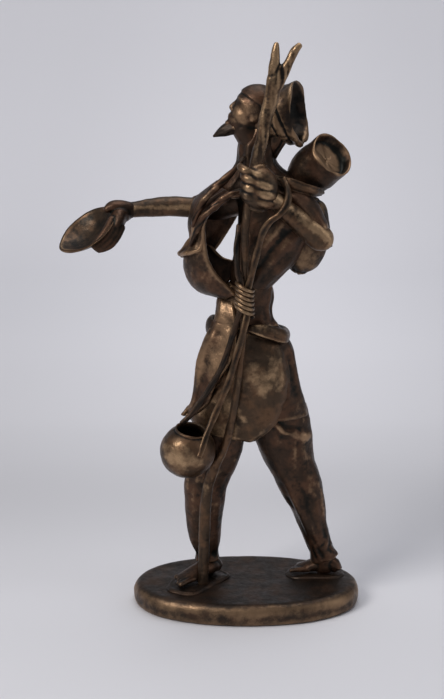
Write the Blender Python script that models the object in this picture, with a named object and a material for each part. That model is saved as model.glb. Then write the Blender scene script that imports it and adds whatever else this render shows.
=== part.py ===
"""Cast-bronze souvenir figurine on an oval plinth: a striding, bearded man in a tunic and
baggy trousers. He holds out a bowl, grips a tall forked staff, and carries a pot on two
cords, an open sack on his shoulder and a bag on his back. He faces -X, with his left side
towards -Y. Each cast piece is its own solid, with a brazing gap to the pieces it meets.
Sizes are millimetres until MM turns them into metres."""

import math

import bmesh
import bpy
from mathutils import Matrix, Vector

MM = 0.001
GAP = 0.3 * MM  # brazing gap between pieces that meet

PLINTH_LENGTH = 119.0
PLINTH_DEPTH = 73.8
PLINTH_HEIGHT = 11.4
SOLE_HEIGHT = 2.0
ANKLE_TOP = 20.6
TROUSER_HEM = 21.0
CROTCH_X = 3.0
LEG_TOP = 105.0
SKIRT_HEM = 105.5
WAIST = 156.0
RIB_LINE = 173.0
NECK_BASE = 226.0
HEAD_TILT = math.radians(28)  # chin lifted, crown tipped towards +X
HEAD_CENTRE = Vector((2.6, 0.0, 262.2))
HEAD_HEIGHT, HEAD_WIDTH, HEAD_LENGTH = 28.0, 19.0, 23.6
POT_CENTRE = Vector((-30.4, -19.5, 90.6))
POT_RADIUS = 14.0
POT_MOUTH = 8.2
POT_AXIS = Vector((0.16, -0.17, 0.97))
BOWL_MOUTH = Vector((-81.2, 5.0, 200.4))
BOWL_RADIUS = 16.2
BOWL_DEPTH = 9.0
BOWL_AXIS = Vector((-0.50, -0.27, 0.82))
HOOD_MOUTH = Vector((24.6, 0.0, 261.4))
HOOD_RADIUS = 16.2
HOOD_AXIS = Vector((0.965, -0.215, 0.14))
SHEET = 1.6  # thickness of cloth cast as sheet metal

# tones of the patina: (base colour, roughness)
BROWN = ((0.10, 0.065, 0.04), 0.42)
RUBBED = ((0.20, 0.135, 0.075), 0.36)
DARK = ((0.055, 0.042, 0.034), 0.48)


# ---------------------------------------------------------------- materials


def bronze(name, tone):
    """A patinated bronze in one of the tones, as a Principled material."""
    colour, roughness = tone
    made = bpy.data.materials.new(name + "_bronze")
    made.use_nodes = True
    shader = made.node_tree.nodes["Principled BSDF"]
    shader.inputs["Base Color"].default_value = (*colour, 1.0)
    shader.inputs["Metallic"].default_value = 0.9
    shader.inputs["Roughness"].default_value = roughness
    return made


def clear_scene():
    for old in list(bpy.data.objects):
        bpy.data.objects.remove(old)


# ---------------------------------------------------------------- shape tools


def add_object(name, bm, tone):
    """Turns a bmesh in millimetres into a smooth-shaded object in metres."""
    bmesh.ops.recalc_face_normals(bm, faces=bm.faces)
    bmesh.ops.scale(bm, vec=(MM, MM, MM), verts=bm.verts)
    mesh = bpy.data.meshes.new(name)
    bm.to_mesh(mesh)
    bm.free()
    made = bpy.data.objects.new(name, mesh)
    bpy.context.scene.collection.objects.link(made)
    made.data.materials.append(bronze(name, tone))
    made.data.shade_smooth()
    made.data.set_sharp_from_angle(angle=math.radians(50))
    return made


def eased(rows, steps):
    """Rows of numbers with steps - 1 Catmull-Rom rows added between each two."""
    out = []
    last = len(rows) - 1
    for i in range(last):
        before, here, there, after = (rows[max(0, min(last, k))] for k in range(i - 1, i + 3))
        for s in range(steps):
            t = s / steps
            out.append(
                tuple(
                    0.5
                    * (
                        2 * b
                        + (c - a) * t
                        + (2 * a - 5 * b + 4 * c - d) * t**2
                        + (3 * b - a - 3 * c + d) * t**3
                    )
                    for a, b, c, d in zip(before, here, there, after)
                )
            )
    out.append(tuple(rows[-1]))
    return out


def skin(bm, rings):
    """Faces between neighbouring rings of vertices, and a flat cap on each end."""
    for low, high in zip(rings, rings[1:]):
        for i in range(len(low)):
            j = (i + 1) % len(low)
            bm.faces.new((low[i], low[j], high[j], high[i]))
    bm.faces.new(rings[0])
    bm.faces.new(rings[-1])


def loft(name, tone, rows, sides=12, steps=2, depth_axis=(0, 1, 0)):
    """A limb: ellipses square to a path. A row is (x, y, z, half width, half depth). The
    depth lies towards the depth axis, and the width square to that and to the path."""
    rows = eased(rows, steps)
    points = [Vector(r[:3]) for r in rows]
    bm = bmesh.new()
    rings = []
    for i, row in enumerate(rows):
        along = (points[min(i + 1, len(rows) - 1)] - points[max(i - 1, 0)]).normalized()
        across = Vector(depth_axis).cross(along).normalized()
        deep = along.cross(across)
        ring = []
        for k in range(sides):
            a = 2 * math.pi * k / sides
            spot = points[i] + across * row[3] * math.cos(a) + deep * row[4] * math.sin(a)
            ring.append(bm.verts.new(spot))
        rings.append(ring)
    skin(bm, rings)
    return add_object(name, bm, tone)


def oval(x_low, x_high, y_low, y_high, angle, power=1.0):
    """A point on an ellipse in a box, or on a squarer oval where power is under 1."""
    c, s = math.cos(angle), math.sin(angle)
    c = math.copysign(abs(c) ** power, c)
    s = math.copysign(abs(s) ** power, s)
    return (
        (x_low + x_high) / 2 + (x_high - x_low) / 2 * c,
        (y_low + y_high) / 2 + (y_high - y_low) / 2 * s,
    )


def stack(name, tone, rows, sides=18, steps=2, power=1.0):
    """A trunk: level ovals. A row is (z, x low, x high, y low, y high)."""
    bm = bmesh.new()
    rings = []
    for z, *box in eased(rows, steps):
        angles = (2 * math.pi * k / sides for k in range(sides))
        rings.append([bm.verts.new((*oval(*box, a, power), z)) for a in angles])
    skin(bm, rings)
    return add_object(name, bm, tone)


def turned(name, tone, profile, centre, axis, sides=24):
    """A profile of (radius, height) spun round an axis through centre. It starts and ends
    at radius 0, so the spun shape is closed."""
    bm = bmesh.new()
    verts = [bm.verts.new((r, 0, h)) for r, h in profile]
    edges = [bm.edges.new(pair) for pair in zip(verts, verts[1:])]
    bmesh.ops.spin(
        bm,
        geom=verts + edges,
        axis=(0, 0, 1),
        cent=(0, 0, 0),
        angle=2 * math.pi,
        steps=sides,
    )
    bmesh.ops.remove_doubles(bm, verts=bm.verts, dist=0.001)
    tilt = Vector((0, 0, 1)).rotation_difference(axis.normalized()).to_matrix().to_4x4()
    bmesh.ops.transform(bm, matrix=Matrix.Translation(centre) @ tilt, verts=bm.verts)
    return add_object(name, bm, tone)


def cloth(name, tone, grid, thickness=SHEET):
    """A sheet of metal cloth over a grid of points, thickened to both sides."""
    bm = bmesh.new()
    verts = [[bm.verts.new(p) for p in row] for row in grid]
    for low, high in zip(verts, verts[1:]):
        for i in range(len(low) - 1):
            bm.faces.new((low[i], low[i + 1], high[i + 1], high[i]))
    made = add_object(name, bm, tone)
    solid = made.modifiers.new("thickness", "SOLIDIFY")
    solid.thickness = thickness * MM
    solid.offset = 0.0
    solid.use_even_offset = True
    return made


def strand(name, tone, points, radius, steps=3, sides=8):
    """A cast cord of round section along a smooth curve through the points."""
    route = eased(points, steps)
    curve = bpy.data.curves.new(name, "CURVE")
    curve.dimensions = "3D"
    curve.bevel_depth = radius * MM
    curve.bevel_resolution = (sides - 4) // 2
    curve.use_fill_caps = True
    spline = curve.splines.new("POLY")
    spline.points.add(len(route) - 1)
    for target, spot in zip(spline.points, route):
        target.co = (*(c * MM for c in spot), 1.0)
    made = bpy.data.objects.new(name, curve)
    bpy.context.scene.collection.objects.link(made)
    curve.materials.append(bronze(name, tone))
    return made


def finished_mesh(thing):
    """The object's mesh with its modifiers applied, points that meet made one."""
    bpy.context.view_layer.update()
    graph = bpy.context.evaluated_depsgraph_get()
    mesh = bpy.data.meshes.new_from_object(thing.evaluated_get(graph))
    bm = bmesh.new()
    bm.from_mesh(mesh)
    bpy.data.meshes.remove(mesh)
    bmesh.ops.remove_doubles(bm, verts=bm.verts, dist=0.00001)
    return bm


def island_of(vert, seen):
    """All the vertices joined to this one by edges."""
    found, edge = [], [vert]
    seen.add(vert)
    while edge:
        here = edge.pop()
        found.append(here)
        for link in here.link_edges:
            other = link.other_vert(here)
            if other not in seen:
                seen.add(other)
                edge.append(other)
    return found


def box_size(verts):
    """The diagonal of the box round these vertices."""
    spans = (max(v.co[i] for v in verts) - min(v.co[i] for v in verts) for i in range(3))
    return math.hypot(*spans)


def keep_main_body(bm):
    """Removes the crumbs that a cut leaves, and keeps the largest body."""
    seen, islands = set(), []
    for vert in bm.verts:
        if vert not in seen:
            islands.append(island_of(vert, seen))
    main = max(islands, key=box_size)
    crumbs = [v for island in islands if island is not main for v in island]
    bmesh.ops.delete(bm, geom=crumbs, context="VERTS")


def replace_mesh(thing, bm):
    """Gives the object this mesh in place of its shape and modifiers."""
    thing.modifiers.clear()
    thing.data.clear_geometry()
    bm.to_mesh(thing.data)
    bm.free()
    thing.data.shade_smooth()
    thing.data.set_sharp_from_angle(angle=math.radians(50))


def boolean(thing, tool, operation):
    """Applies one exact Boolean with the tool, which is then removed."""
    step = thing.modifiers.new(operation, "BOOLEAN")
    step.object = tool
    step.operation = operation
    bm = finished_mesh(thing)
    keep_main_body(bm)
    replace_mesh(thing, bm)
    bpy.data.objects.remove(tool)


def swollen_copy(thing, gap):
    """A hidden copy of the object, grown by gap all round."""
    bm = finished_mesh(thing)
    bmesh.ops.recalc_face_normals(bm, faces=bm.faces)
    bm.normal_update()
    moves = [(v, v.normal * gap * min(v.calc_shell_factor(), 2.0)) for v in bm.verts]
    for vert, move in moves:
        vert.co += move
    mesh = bpy.data.meshes.new(thing.name + "_room")
    bm.to_mesh(mesh)
    bm.free()
    made = bpy.data.objects.new(mesh.name, mesh)
    made.hide_render = True
    made.display_type = "WIRE"
    bpy.context.scene.collection.objects.link(made)
    return made


def make_room(thing, *neighbours):
    """Cuts the object back from each neighbour, so a brazing gap is left between them."""
    for neighbour in neighbours:
        boolean(thing, swollen_copy(neighbour, GAP), "DIFFERENCE")


def fuse(thing, *others):
    """Joins other solids into this one."""
    for other in others:
        boolean(thing, other, "UNION")


def slice_off(thing, point, normal):
    """Cuts the object with a plane, removes what lies beyond it and closes the cut."""
    bm = finished_mesh(thing)
    geometry = bm.verts[:] + bm.edges[:] + bm.faces[:]
    cut = bmesh.ops.bisect_plane(
        bm, geom=geometry, plane_co=Vector(point) * MM, plane_no=normal, clear_outer=True
    )
    rim = [e for e in cut["geom_cut"] if isinstance(e, bmesh.types.BMEdge)]
    bmesh.ops.holes_fill(bm, edges=rim, sides=0)
    replace_mesh(thing, bm)


# ---------------------------------------------------------------- plinth and feet


def make_plinth():
    """An oval plate with a rounded top edge and a flat underside."""
    half_x, half_y = PLINTH_LENGTH / 2, PLINTH_DEPTH / 2
    profile = (  # (height, inset from the widest outline)
        (0.0, 1.4),
        (1.6, 0.3),
        (6.4, 0.0),
        (9.3, 0.7),
        (10.8, 2.1),
        (PLINTH_HEIGHT, 4.2),
    )
    rows = [(z, i - half_x, half_x - i, i - half_y, half_y - i) for z, i in profile]
    return stack("base_plate", DARK, rows, sides=48, steps=1, power=0.93)


def make_sole(name, tone, toe, heel, toe_radius, heel_radius):
    """A flat sandal sole: the hull of a circle at the ball and one at the heel."""
    toe, heel = Vector(toe), Vector(heel)
    bm = bmesh.new()
    corners = []
    steps = 10
    heading = math.atan2(toe.y - heel.y, toe.x - heel.x)
    for centre, radius, start in ((toe, toe_radius, -0.5), (heel, heel_radius, 0.5)):
        for k in range(steps):
            a = heading + math.pi * (start + k / (steps - 1))
            corners.append((centre.x + radius * math.cos(a), centre.y + radius * math.sin(a)))
    low = [bm.verts.new((x, y, PLINTH_HEIGHT + 0.3)) for x, y in corners]
    high = [bm.verts.new((x, y, PLINTH_HEIGHT + SOLE_HEIGHT)) for x, y in corners]
    skin(bm, [low, high])
    return add_object(name, bm, tone)


def make_foot(name, tone, heel, toe, ankle, width):
    """A bare foot as arched sections from heel to toes, fused to a short ankle."""
    floor = PLINTH_HEIGHT + SOLE_HEIGHT + 0.3
    heel, toe = Vector((*heel, floor)), Vector((*toe, floor))
    along = (toe - heel).normalized()
    side = Vector((0, 0, 1)).cross(along)
    sections = (  # share of the length, half width as a share of width, height
        (0.0, 0.50, 3.2),
        (0.10, 0.80, 6.0),
        (0.28, 0.86, 6.6),
        (0.48, 0.86, 6.2),
        (0.70, 1.0, 3.9),
        (0.90, 0.9, 2.6),
        (1.0, 0.55, 1.6),
    )
    bm = bmesh.new()
    rings = []
    arc = 8
    for share, half, height in sections:
        middle = heel.lerp(toe, share)
        ring = []
        for k in range(arc + 1):
            a = math.pi * k / arc
            spot = middle + side * width * half * math.cos(a)
            ring.append(bm.verts.new(spot + Vector((0, 0, height * math.sin(a) ** 0.8))))
        rings.append(ring)
    skin(bm, rings)
    foot = add_object(name, bm, tone)
    x, y = ankle
    shank = loft(
        "shank",
        tone,
        ((x, y, floor + 2.5, 4.6, 4.2), (x, y, 17.5, 4.9, 4.5), (x, y, ANKLE_TOP, 5.0, 4.7)),
        sides=10,
        steps=1,
    )
    fuse(foot, shank)
    return foot


# ---------------------------------------------------------------- legs, tunic and trunk


def make_legs():
    front = loft(
        "front_trouser_leg",
        BROWN,
        (
            (-12.0, -1.0, 110.0, 14.0, 10.0),
            (-15.5, 0.0, 85.0, 12.8, 9.6),
            (-21.0, 2.0, 67.0, 11.4, 8.8),
            (-22.0, 3.2, 55.0, 10.4, 8.2),
            (-22.4, 4.4, 44.0, 9.5, 7.6),
            (-21.8, 5.0, 31.5, 7.2, 6.6),
            (-21.2, 5.0, 26.0, 6.5, 6.1),
            (-20.9, 5.0, TROUSER_HEM, 7.0, 6.5),
        ),
    )
    rear = loft(
        "rear_trouser_leg",
        BROWN,
        (
            (15.4, 5.0, 112.0, 14.6, 11.0),
            (18.4, 5.0, 92.0, 14.2, 10.8),
            (23.4, 5.6, 76.5, 12.6, 10.0),
            (30.0, 6.0, 58.5, 10.2, 9.0),
            (36.4, 6.0, 38.5, 7.0, 7.0),
            (39.4, 6.0, 28.5, 6.5, 6.3),
            (41.4, 6.0, TROUSER_HEM, 7.4, 6.6),
        ),
    )
    slice_off(front, (CROTCH_X - 0.15, 0, 0), (1, 0, 0))
    slice_off(rear, (CROTCH_X + 0.15, 0, 0), (-1, 0, 0))
    for leg in (front, rear):
        slice_off(leg, (0, 0, LEG_TOP), (0, 0, 1))
        slice_off(leg, (0, 0, TROUSER_HEM), (0, 0, -1))
    return front, rear


SKIRT_ROWS = (
    (SKIRT_HEM, -27.0, 30.0, -12.6, 13.4),
    (112.0, -27.0, 29.0, -13.2, 13.8),
    (120.0, -26.6, 26.8, -13.4, 13.8),
    (130.0, -26.2, 25.2, -13.2, 13.4),
    (140.0, -23.8, 23.6, -12.6, 12.6),
    (148.0, -20.4, 19.0, -11.6, 11.6),
    (WAIST, -15.6, 12.4, -10.6, 10.6),
)


def level_oval(rows, z):
    """The box of the oval at height z in a table of level ovals."""
    for low, high in zip(rows, rows[1:]):
        if low[0] <= z <= high[0]:
            t = (z - low[0]) / (high[0] - low[0])
            return [a + (b - a) * t for a, b in zip(low[1:], high[1:])]
    return list(rows[0][1:] if z < rows[0][0] else rows[-1][1:])


def near_side(rows, x, z, proud):
    """The point of a trunk's -Y side at x and z, moved outwards by proud."""
    x_low, x_high, y_low, y_high = level_oval(rows, z)
    half_x, half_y = (x_high - x_low) / 2 + proud, (y_high - y_low) / 2 + proud
    share = max(-1.0, min(1.0, (x - (x_low + x_high) / 2) / half_x))
    return Vector((x, (y_low + y_high) / 2 - half_y * math.sqrt(1 - share * share), z))


def panel(name, tone, edges, proud, columns=8, steps=2):
    """Cloth that lies on the skirt's near side. A row of edges is (left x, left z,
    right x, right z), top row first."""
    grid = []
    for x0, z0, x1, z1 in eased(edges, steps):
        row = []
        for k in range(columns + 1):
            t = k / columns
            row.append(near_side(SKIRT_ROWS, x0 + (x1 - x0) * t, z0 + (z1 - z0) * t, proud))
        grid.append(row)
    return cloth(name, tone, grid)


def belt_roll(name, tone, start, end, z_start, z_end, radius):
    """A rolled fold that lies round the skirt between two bearings in degrees, measured
    from +X. It tapers at both ends."""
    rows = []
    steps = 9
    for k in range(steps + 1):
        t = k / steps
        z = z_start + (z_end - z_start) * t
        x_low, x_high, y_low, y_high = level_oval(SKIRT_ROWS, z)
        swell = math.sin(math.pi * (0.08 + 0.84 * t)) ** 0.6
        proud = 0.55 * radius * swell
        bearing = math.radians(start + (end - start) * t)
        x, y = oval(x_low - proud, x_high + proud, y_low - proud, y_high + proud, bearing)
        rows.append((x, y, z, 0.85 * radius * swell, radius * swell))
    return loft(name, tone, rows, sides=10, steps=1, depth_axis=(0, 0, 1))


def make_tunic():
    skirt = stack("tunic_skirt", BROWN, SKIRT_ROWS, sides=20, steps=1)
    apron = panel(
        "apron_panel",
        RUBBED,
        (
            (-2.0, 149.0, 16.0, 144.0),
            (-8.0, 138.0, 20.0, 132.0),
            (-14.0, 124.0, 20.5, 119.0),
            (-19.0, 110.0, 16.0, 106.0),
            (-20.0, 101.0, 10.5, 99.5),
            (-14.0, 96.5, 4.0, 94.5),
        ),
        proud=1.3,
    )
    flap = panel(
        "front_flap",
        BROWN,
        (
            (-14.5, 154.0, -7.0, 154.0),
            (-19.5, 147.0, -8.0, 145.0),
            (-23.8, 137.0, -10.5, 136.0),
            (-27.0, 124.0, -16.5, 126.0),
            (-29.0, 114.0, -23.0, 117.5),
            (-31.5, 106.5, -28.6, 109.0),
        ),
        proud=3.6,
        columns=5,
    )
    back_roll = belt_roll("waist_roll_back", RUBBED, -97, 62, 155.2, 148.2, 3.0)
    front_roll = belt_roll("waist_roll_front", BROWN, 128, 246, 150.6, 151.4, 2.3)
    return skirt, apron, flap, back_roll, front_roll


def make_trunk():
    abdomen = stack(
        "abdomen",
        BROWN,
        (
            (WAIST + 0.3, -15.4, 12.2, -10.4, 10.4),
            (161.0, -15.2, 12.8, -10.4, 10.4),
            (167.0, -14.0, 12.6, -10.0, 10.0),
            (RIB_LINE, -9.0, 11.6, -9.2, 9.2),
        ),
    )
    torso = stack(
        "torso",
        BROWN,
        (
            (RIB_LINE + 0.3, -8.2, 11.8, -9.0, 9.0),
            (179.0, -8.0, 18.0, -10.6, 9.6),
            (186.0, -7.6, 24.6, -11.4, 10.0),
            (198.0, -5.6, 30.4, -11.8, 10.4),
            (210.0, -5.0, 32.4, -12.0, 11.0),
            (218.0, -5.2, 29.6, -11.0, 10.8),
            (NECK_BASE, -2.6, 15.4, -8.6, 8.6),
        ),
    )
    neck = loft(
        "neck",
        BROWN,
        (
            (5.4, 0.0, NECK_BASE + 0.3, 9.8, 8.8),
            (4.8, 0.0, 234.0, 9.4, 8.4),
            (4.8, 0.0, 241.0, 9.4, 8.2),
            (5.8, 0.0, 248.0, 9.8, 8.2),
        ),
        steps=1,
    )
    return abdomen, torso, neck


# ---------------------------------------------------------------- head


def head_space(point):
    """A point given as (towards the face, left ear, crown), put in the tilted head."""
    forward, left, up = point
    tilt = Matrix.Rotation(HEAD_TILT, 3, "Y")
    return HEAD_CENTRE + tilt @ Vector((-forward, -left, up))


def make_head():
    """The skull is an egg whose lower half narrows to the chin. The beard is a cone."""
    bm = bmesh.new()
    bmesh.ops.create_uvsphere(bm, u_segments=16, v_segments=12, radius=1.0)
    for vert in bm.verts:
        side, forward, up = vert.co.x, vert.co.y, vert.co.z
        jaw = max(0.0, -up)
        side *= HEAD_WIDTH / 2 * (1 - 0.30 * jaw)
        forward = HEAD_LENGTH / 2 * forward * (1 - 0.22 * jaw) + 1.6 * jaw
        vert.co = head_space((forward, side, up * HEAD_HEIGHT / 2))
    head = add_object("head", bm, BROWN)
    root, middle, tip = (head_space(p) for p in ((5.2, 0, -12.0), (8.6, 0, -16.0), (11.6, 0, -20.6)))
    beard = loft(
        "beard",
        DARK,
        ((*root, 3.2, 3.8), (*middle, 2.5, 2.8), (*tip, 0.5, 0.5)),
        sides=10,
    )
    return head, beard


def make_hood():
    """A deep cap that hugs the skull and opens to a wide round mouth behind it. The
    profile runs from the outside of its closed end to the rim and back inside."""
    outside = ((0.0, -25.0), (6.6, -24.0), (11.2, -20.4), (13.4, -13.6), (14.6, -5.0), (HOOD_RADIUS, 0.0))
    inside = ((HOOD_RADIUS - 1.8, 0.2), (12.6, -3.4), (9.6, -6.8), (5.0, -8.4), (0.0, -8.8))
    return turned("head_wrap", DARK, outside + inside, HOOD_MOUTH, HOOD_AXIS, sides=20)


# ---------------------------------------------------------------- arms, bowl and staff


def make_right_arm():
    sleeve = loft(
        "right_sleeve",
        BROWN,
        (
            (4.0, 6.0, 217.0, 7.4, 6.0),
            (-6.0, 8.6, 215.4, 8.2, 6.6),
            (-16.0, 11.6, 213.2, 8.6, 6.8),
            (-22.0, 13.2, 211.2, 7.0, 6.0),
            (-25.0, 13.8, 210.4, 5.6, 5.4),
        ),
    )
    arm = loft(
        "right_arm",
        RUBBED,
        (
            (-25.4, 14.0, 210.2, 5.1, 4.8),
            (-39.5, 14.0, 210.6, 4.9, 4.6),
            (-49.5, 13.4, 210.4, 4.7, 4.4),
            (-56.0, 12.6, 209.8, 4.0, 4.0),
            (-61.0, 11.6, 209.4, 3.7, 3.8),
        ),
        sides=12,
    )
    palm = loft(
        "right_hand",
        BROWN,
        (
            (-61.4, 11.4, 209.6, 3.7, 3.8),
            (-64.6, 8.2, 207.6, 4.6, 5.0),
            (-66.6, 3.6, 203.6, 4.4, 6.4),
            (-69.6, -0.6, 198.6, 3.8, 6.2),
            (-74.4, -3.2, 194.4, 2.8, 4.6),
            (-78.6, -4.2, 191.8, 1.4, 2.6),
        ),
        sides=12,
    )
    thumb = loft(
        "thumb",
        BROWN,
        ((-61.4, 11.4, 211.0, 2.8, 2.6), (-66.0, 11.2, 213.2, 2.7, 2.6), (-69.6, 10.8, 213.4, 2.4, 2.4), (-71.8, 10.6, 212.2, 1.3, 1.3)),
        sides=8,
    )
    fuse(palm, thumb)
    return sleeve, arm, palm


def make_bowl():
    """A shallow begging bowl with a thin wall and an open mouth."""
    wall = 1.5
    steps = 6
    profile = []
    for k in range(steps + 1):
        a = math.pi / 2 * k / steps
        profile.append((BOWL_RADIUS * math.sin(a), -BOWL_DEPTH * math.cos(a)))
    for k in range(steps, -1, -1):
        a = math.pi / 2 * k / steps
        reach = (BOWL_RADIUS - wall) * math.sin(a)
        profile.append((reach, 0.2 - (BOWL_DEPTH - wall) * math.cos(a)))
    return turned("begging_bowl", RUBBED, profile, BOWL_MOUTH, BOWL_AXIS)


def make_left_arm():
    upper = loft(
        "left_upper_arm",
        BROWN,
        (
            (16.0, -9.0, 222.0, 5.6, 5.0),
            (22.0, -11.6, 219.4, 7.6, 6.0),
            (29.0, -13.6, 213.6, 7.4, 6.2),
            (34.6, -15.4, 206.4, 5.6, 5.4),
        ),
    )
    forearm = loft(
        "left_forearm",
        RUBBED,
        (
            (39.8, -16.2, 199.8, 3.0, 3.0),
            (38.2, -16.4, 201.0, 5.4, 5.0),
            (34.6, -17.0, 203.2, 6.2, 5.6),
            (27.6, -18.4, 207.6, 5.6, 5.2),
            (20.4, -20.2, 214.2, 4.3, 4.4),
            (15.4, -21.6, 219.6, 3.8, 4.0),
            (12.0, -22.6, 223.2, 3.7, 4.2),
        ),
    )
    return upper, forearm


def make_left_hand():
    """A fist: a rounded palm with four fingers that lie one above the other."""
    fist = loft(
        "left_hand",
        RUBBED,
        (
            (4.0, -22.6, 218.6, 3.6, 3.4),
            (4.6, -22.8, 221.4, 7.4, 6.0),
            (5.0, -23.0, 228.0, 8.6, 6.6),
            (5.0, -22.6, 234.4, 7.6, 6.0),
            (4.4, -22.0, 238.6, 3.8, 3.4),
        ),
    )
    fingers = 4
    for k in range(fingers):
        z = 222.4 + 4.3 * k
        finger = loft(
            "finger",
            RUBBED,
            (
                (11.4 - 0.5 * k, -27.0, z - 1.6, 1.5, 1.3),
                (6.6, -29.6, z - 0.4, 2.1, 1.9),
                (1.0, -29.2, z + 0.8, 2.1, 1.9),
                (-3.2, -26.4, z + 1.6, 2.0, 1.9),
                (-4.6, -22.6, z + 1.8, 1.4, 1.4),
            ),
            sides=8,
        )
        fuse(fist, finger)
    return fist


def make_staff():
    """A forked branch from above the head to the plinth, bent above the pot."""
    shaft = loft(
        "staff",
        DARK,
        (
            (13.4, -20.0, 283.0, 4.6, 3.4),
            (12.6, -20.2, 278.0, 4.2, 3.3),
            (8.6, -20.8, 261.3, 3.3, 3.0),
            (4.2, -21.4, 244.2, 2.9, 2.7),
            (0.6, -21.6, 226.0, 2.4, 2.3),
            (-1.3, -19.6, 208.0, 2.0, 2.0),
            (-1.5, -18.0, 190.0, 1.9, 1.9),
            (-1.4, -17.2, 171.0, 1.9, 1.9),
            (-2.4, -18.6, 150.0, 2.0, 2.0),
            (-6.0, -19.0, 118.0, 2.1, 2.0),
            (-10.8, -16.0, 94.0, 2.3, 2.2),
            (-17.6, -12.0, 77.0, 2.6, 2.4),
            (-21.0, -9.6, 62.0, 2.8, 2.6),
            (-22.2, -8.8, 40.0, 2.8, 2.6),
            (-22.7, -9.0, PLINTH_HEIGHT + SOLE_HEIGHT + 0.3, 2.7, 2.6),
        ),
        sides=10,
    )
    left_tine = loft(
        "left_tine",
        DARK,
        ((12.6, -20.2, 277.0, 2.6, 2.6), (12.4, -20.0, 287.0, 2.5, 2.3), (13.2, -20.0, 299.0, 1.5, 1.5)),
        sides=8,
    )
    right_tine = loft(
        "right_tine",
        DARK,
        (
            (13.8, -20.2, 277.0, 2.4, 2.4),
            (17.8, -20.0, 287.6, 2.3, 2.1),
            (22.6, -19.6, 295.4, 2.0, 1.9),
            (25.4, -19.4, 297.6, 1.4, 1.4),
        ),
        sides=8,
    )
    fuse(shaft, left_tine, right_tine)
    return shaft


# ---------------------------------------------------------------- cords and pot


def make_binding():
    """A cord wound round the staff and both carrying cords."""
    turns, pitch, wire = 6, 2.45, 1.05
    half_x, half_y = 5.3, 5.8
    per_turn = 12
    points = []
    for k in range(turns * per_turn + 1):
        a = 2 * math.pi * k / per_turn
        height = 163.4 + pitch * k / per_turn
        points.append((-1.5 + half_x * math.cos(a), -18.9 + half_y * math.sin(a), height))
    return strand("staff_binding", RUBBED, points, wire, steps=1, sides=8)


def make_cords():
    near = strand(
        "near_cord",
        RUBBED,
        (
            (17.2, -15.6, 231.0),
            (19.6, -20.4, 226.4),
            (19.0, -25.2, 220.6),
            (15.4, -27.4, 216.0),
            (10.4, -27.2, 212.0),
            (6.8, -24.8, 205.0),
            (4.4, -22.6, 195.0),
            (1.2, -20.9, 181.0),
            (0.1, -20.8, 176.0),
            (0.0, -20.8, 166.0),
            (-1.4, -22.0, 158.0),
            (-4.3, -22.6, 147.0),
            (-9.0, -22.4, 130.0),
            (-15.6, -22.4, 113.0),
            (-20.4, -25.4, 102.0),
            (-22.6, -29.2, 96.4),
        ),
        1.35,
        steps=2,
    )
    far = strand(
        "far_cord",
        DARK,
        (
            (-4.2, -14.6, 207.0),
            (-5.6, -17.4, 197.0),
            (-5.2, -19.6, 186.0),
            (-3.3, -20.4, 178.0),
            (-3.5, -20.4, 166.0),
            (-5.6, -19.9, 158.5),
            (-8.6, -18.8, 148.0),
            (-12.6, -19.0, 136.0),
            (-19.6, -18.8, 123.0),
            (-27.0, -18.8, 112.0),
            (-33.0, -19.2, 105.4),
        ),
        1.25,
        steps=2,
    )
    return near, far


def make_pot():
    """A round gourd pot with a thin wall and a plain round mouth."""
    wall = 1.5
    steps = 9
    mouth = math.asin(POT_MOUTH / POT_RADIUS)
    profile = []
    for k in range(steps + 1):
        a = (math.pi - mouth) * k / steps
        profile.append((POT_RADIUS * math.sin(a), -POT_RADIUS * math.cos(a)))
    inner = POT_RADIUS - wall
    rim = math.asin((POT_MOUTH - 0.4) / inner)
    for k in range(steps, -1, -1):
        a = (math.pi - rim) * k / steps
        profile.append((inner * math.sin(a), -inner * math.cos(a)))
    return turned("gourd_pot", RUBBED, profile, POT_CENTRE, POT_AXIS)


# ---------------------------------------------------------------- cloth and baggage


def bowed_grid(near, front, far, columns=10, steps=3):
    """A sheet that bows from a near edge round a front line to a far edge. A row runs
    along two quarter ellipses that meet at the front."""
    rows = zip(*(eased(side, steps) for side in (near, front, far)))
    grid = []
    for n, f, e in rows:
        n, f, e = Vector(n), Vector(f), Vector(e)
        row = []
        for k in range(columns + 1):
            a = math.pi * k / columns
            start, share = (n, a) if a <= math.pi / 2 else (e, math.pi - a)
            corner = Vector((start.x, f.y, (start.z + f.z) / 2))
            reach = f - corner
            side = start - corner
            row.append(corner + reach * math.sin(share) + side * math.cos(share))
        grid.append(row)
    return grid


def make_drapes():
    """The tunic's loose chest cloth, and the pouch into which its lower end hangs."""
    chest = cloth(
        "chest_drape",
        BROWN,
        bowed_grid(
            near=((-7.0, -13.8, 223.4), (-17.4, -13.4, 216.6), (-22.2, -12.8, 208.0), (-22.4, -12.8, 199.0), (-22.6, -13.4, 192.4)),
            front=((-15.0, 4.0, 225.6), (-26.4, 4.0, 216.0), (-29.4, 3.4, 206.0), (-29.2, 3.0, 197.4), (-33.8, 2.6, 189.4)),
            far=((-3.6, 12.4, 219.0), (-5.0, 12.6, 209.4), (-9.6, 12.8, 200.4), (-14.2, 13.0, 192.6), (-18.2, 13.4, 187.2)),
        ),
    )
    pouch = cloth(
        "chest_pouch",
        BROWN,
        bowed_grid(
            near=((-20.6, -11.6, 193.0), (-18.4, -12.4, 186.4), (-13.0, -13.0, 177.8), (-7.6, -13.0, 172.4)),
            front=((-30.6, 2.0, 190.0), (-31.8, 2.0, 179.6), (-26.0, 2.0, 169.6), (-14.0, 2.0, 166.4)),
            far=((-17.0, 11.6, 187.0), (-14.4, 12.2, 182.6), (-9.6, 12.0, 179.6), (-5.4, 10.6, 177.4)),
        ),
    )
    return chest, pouch


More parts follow.
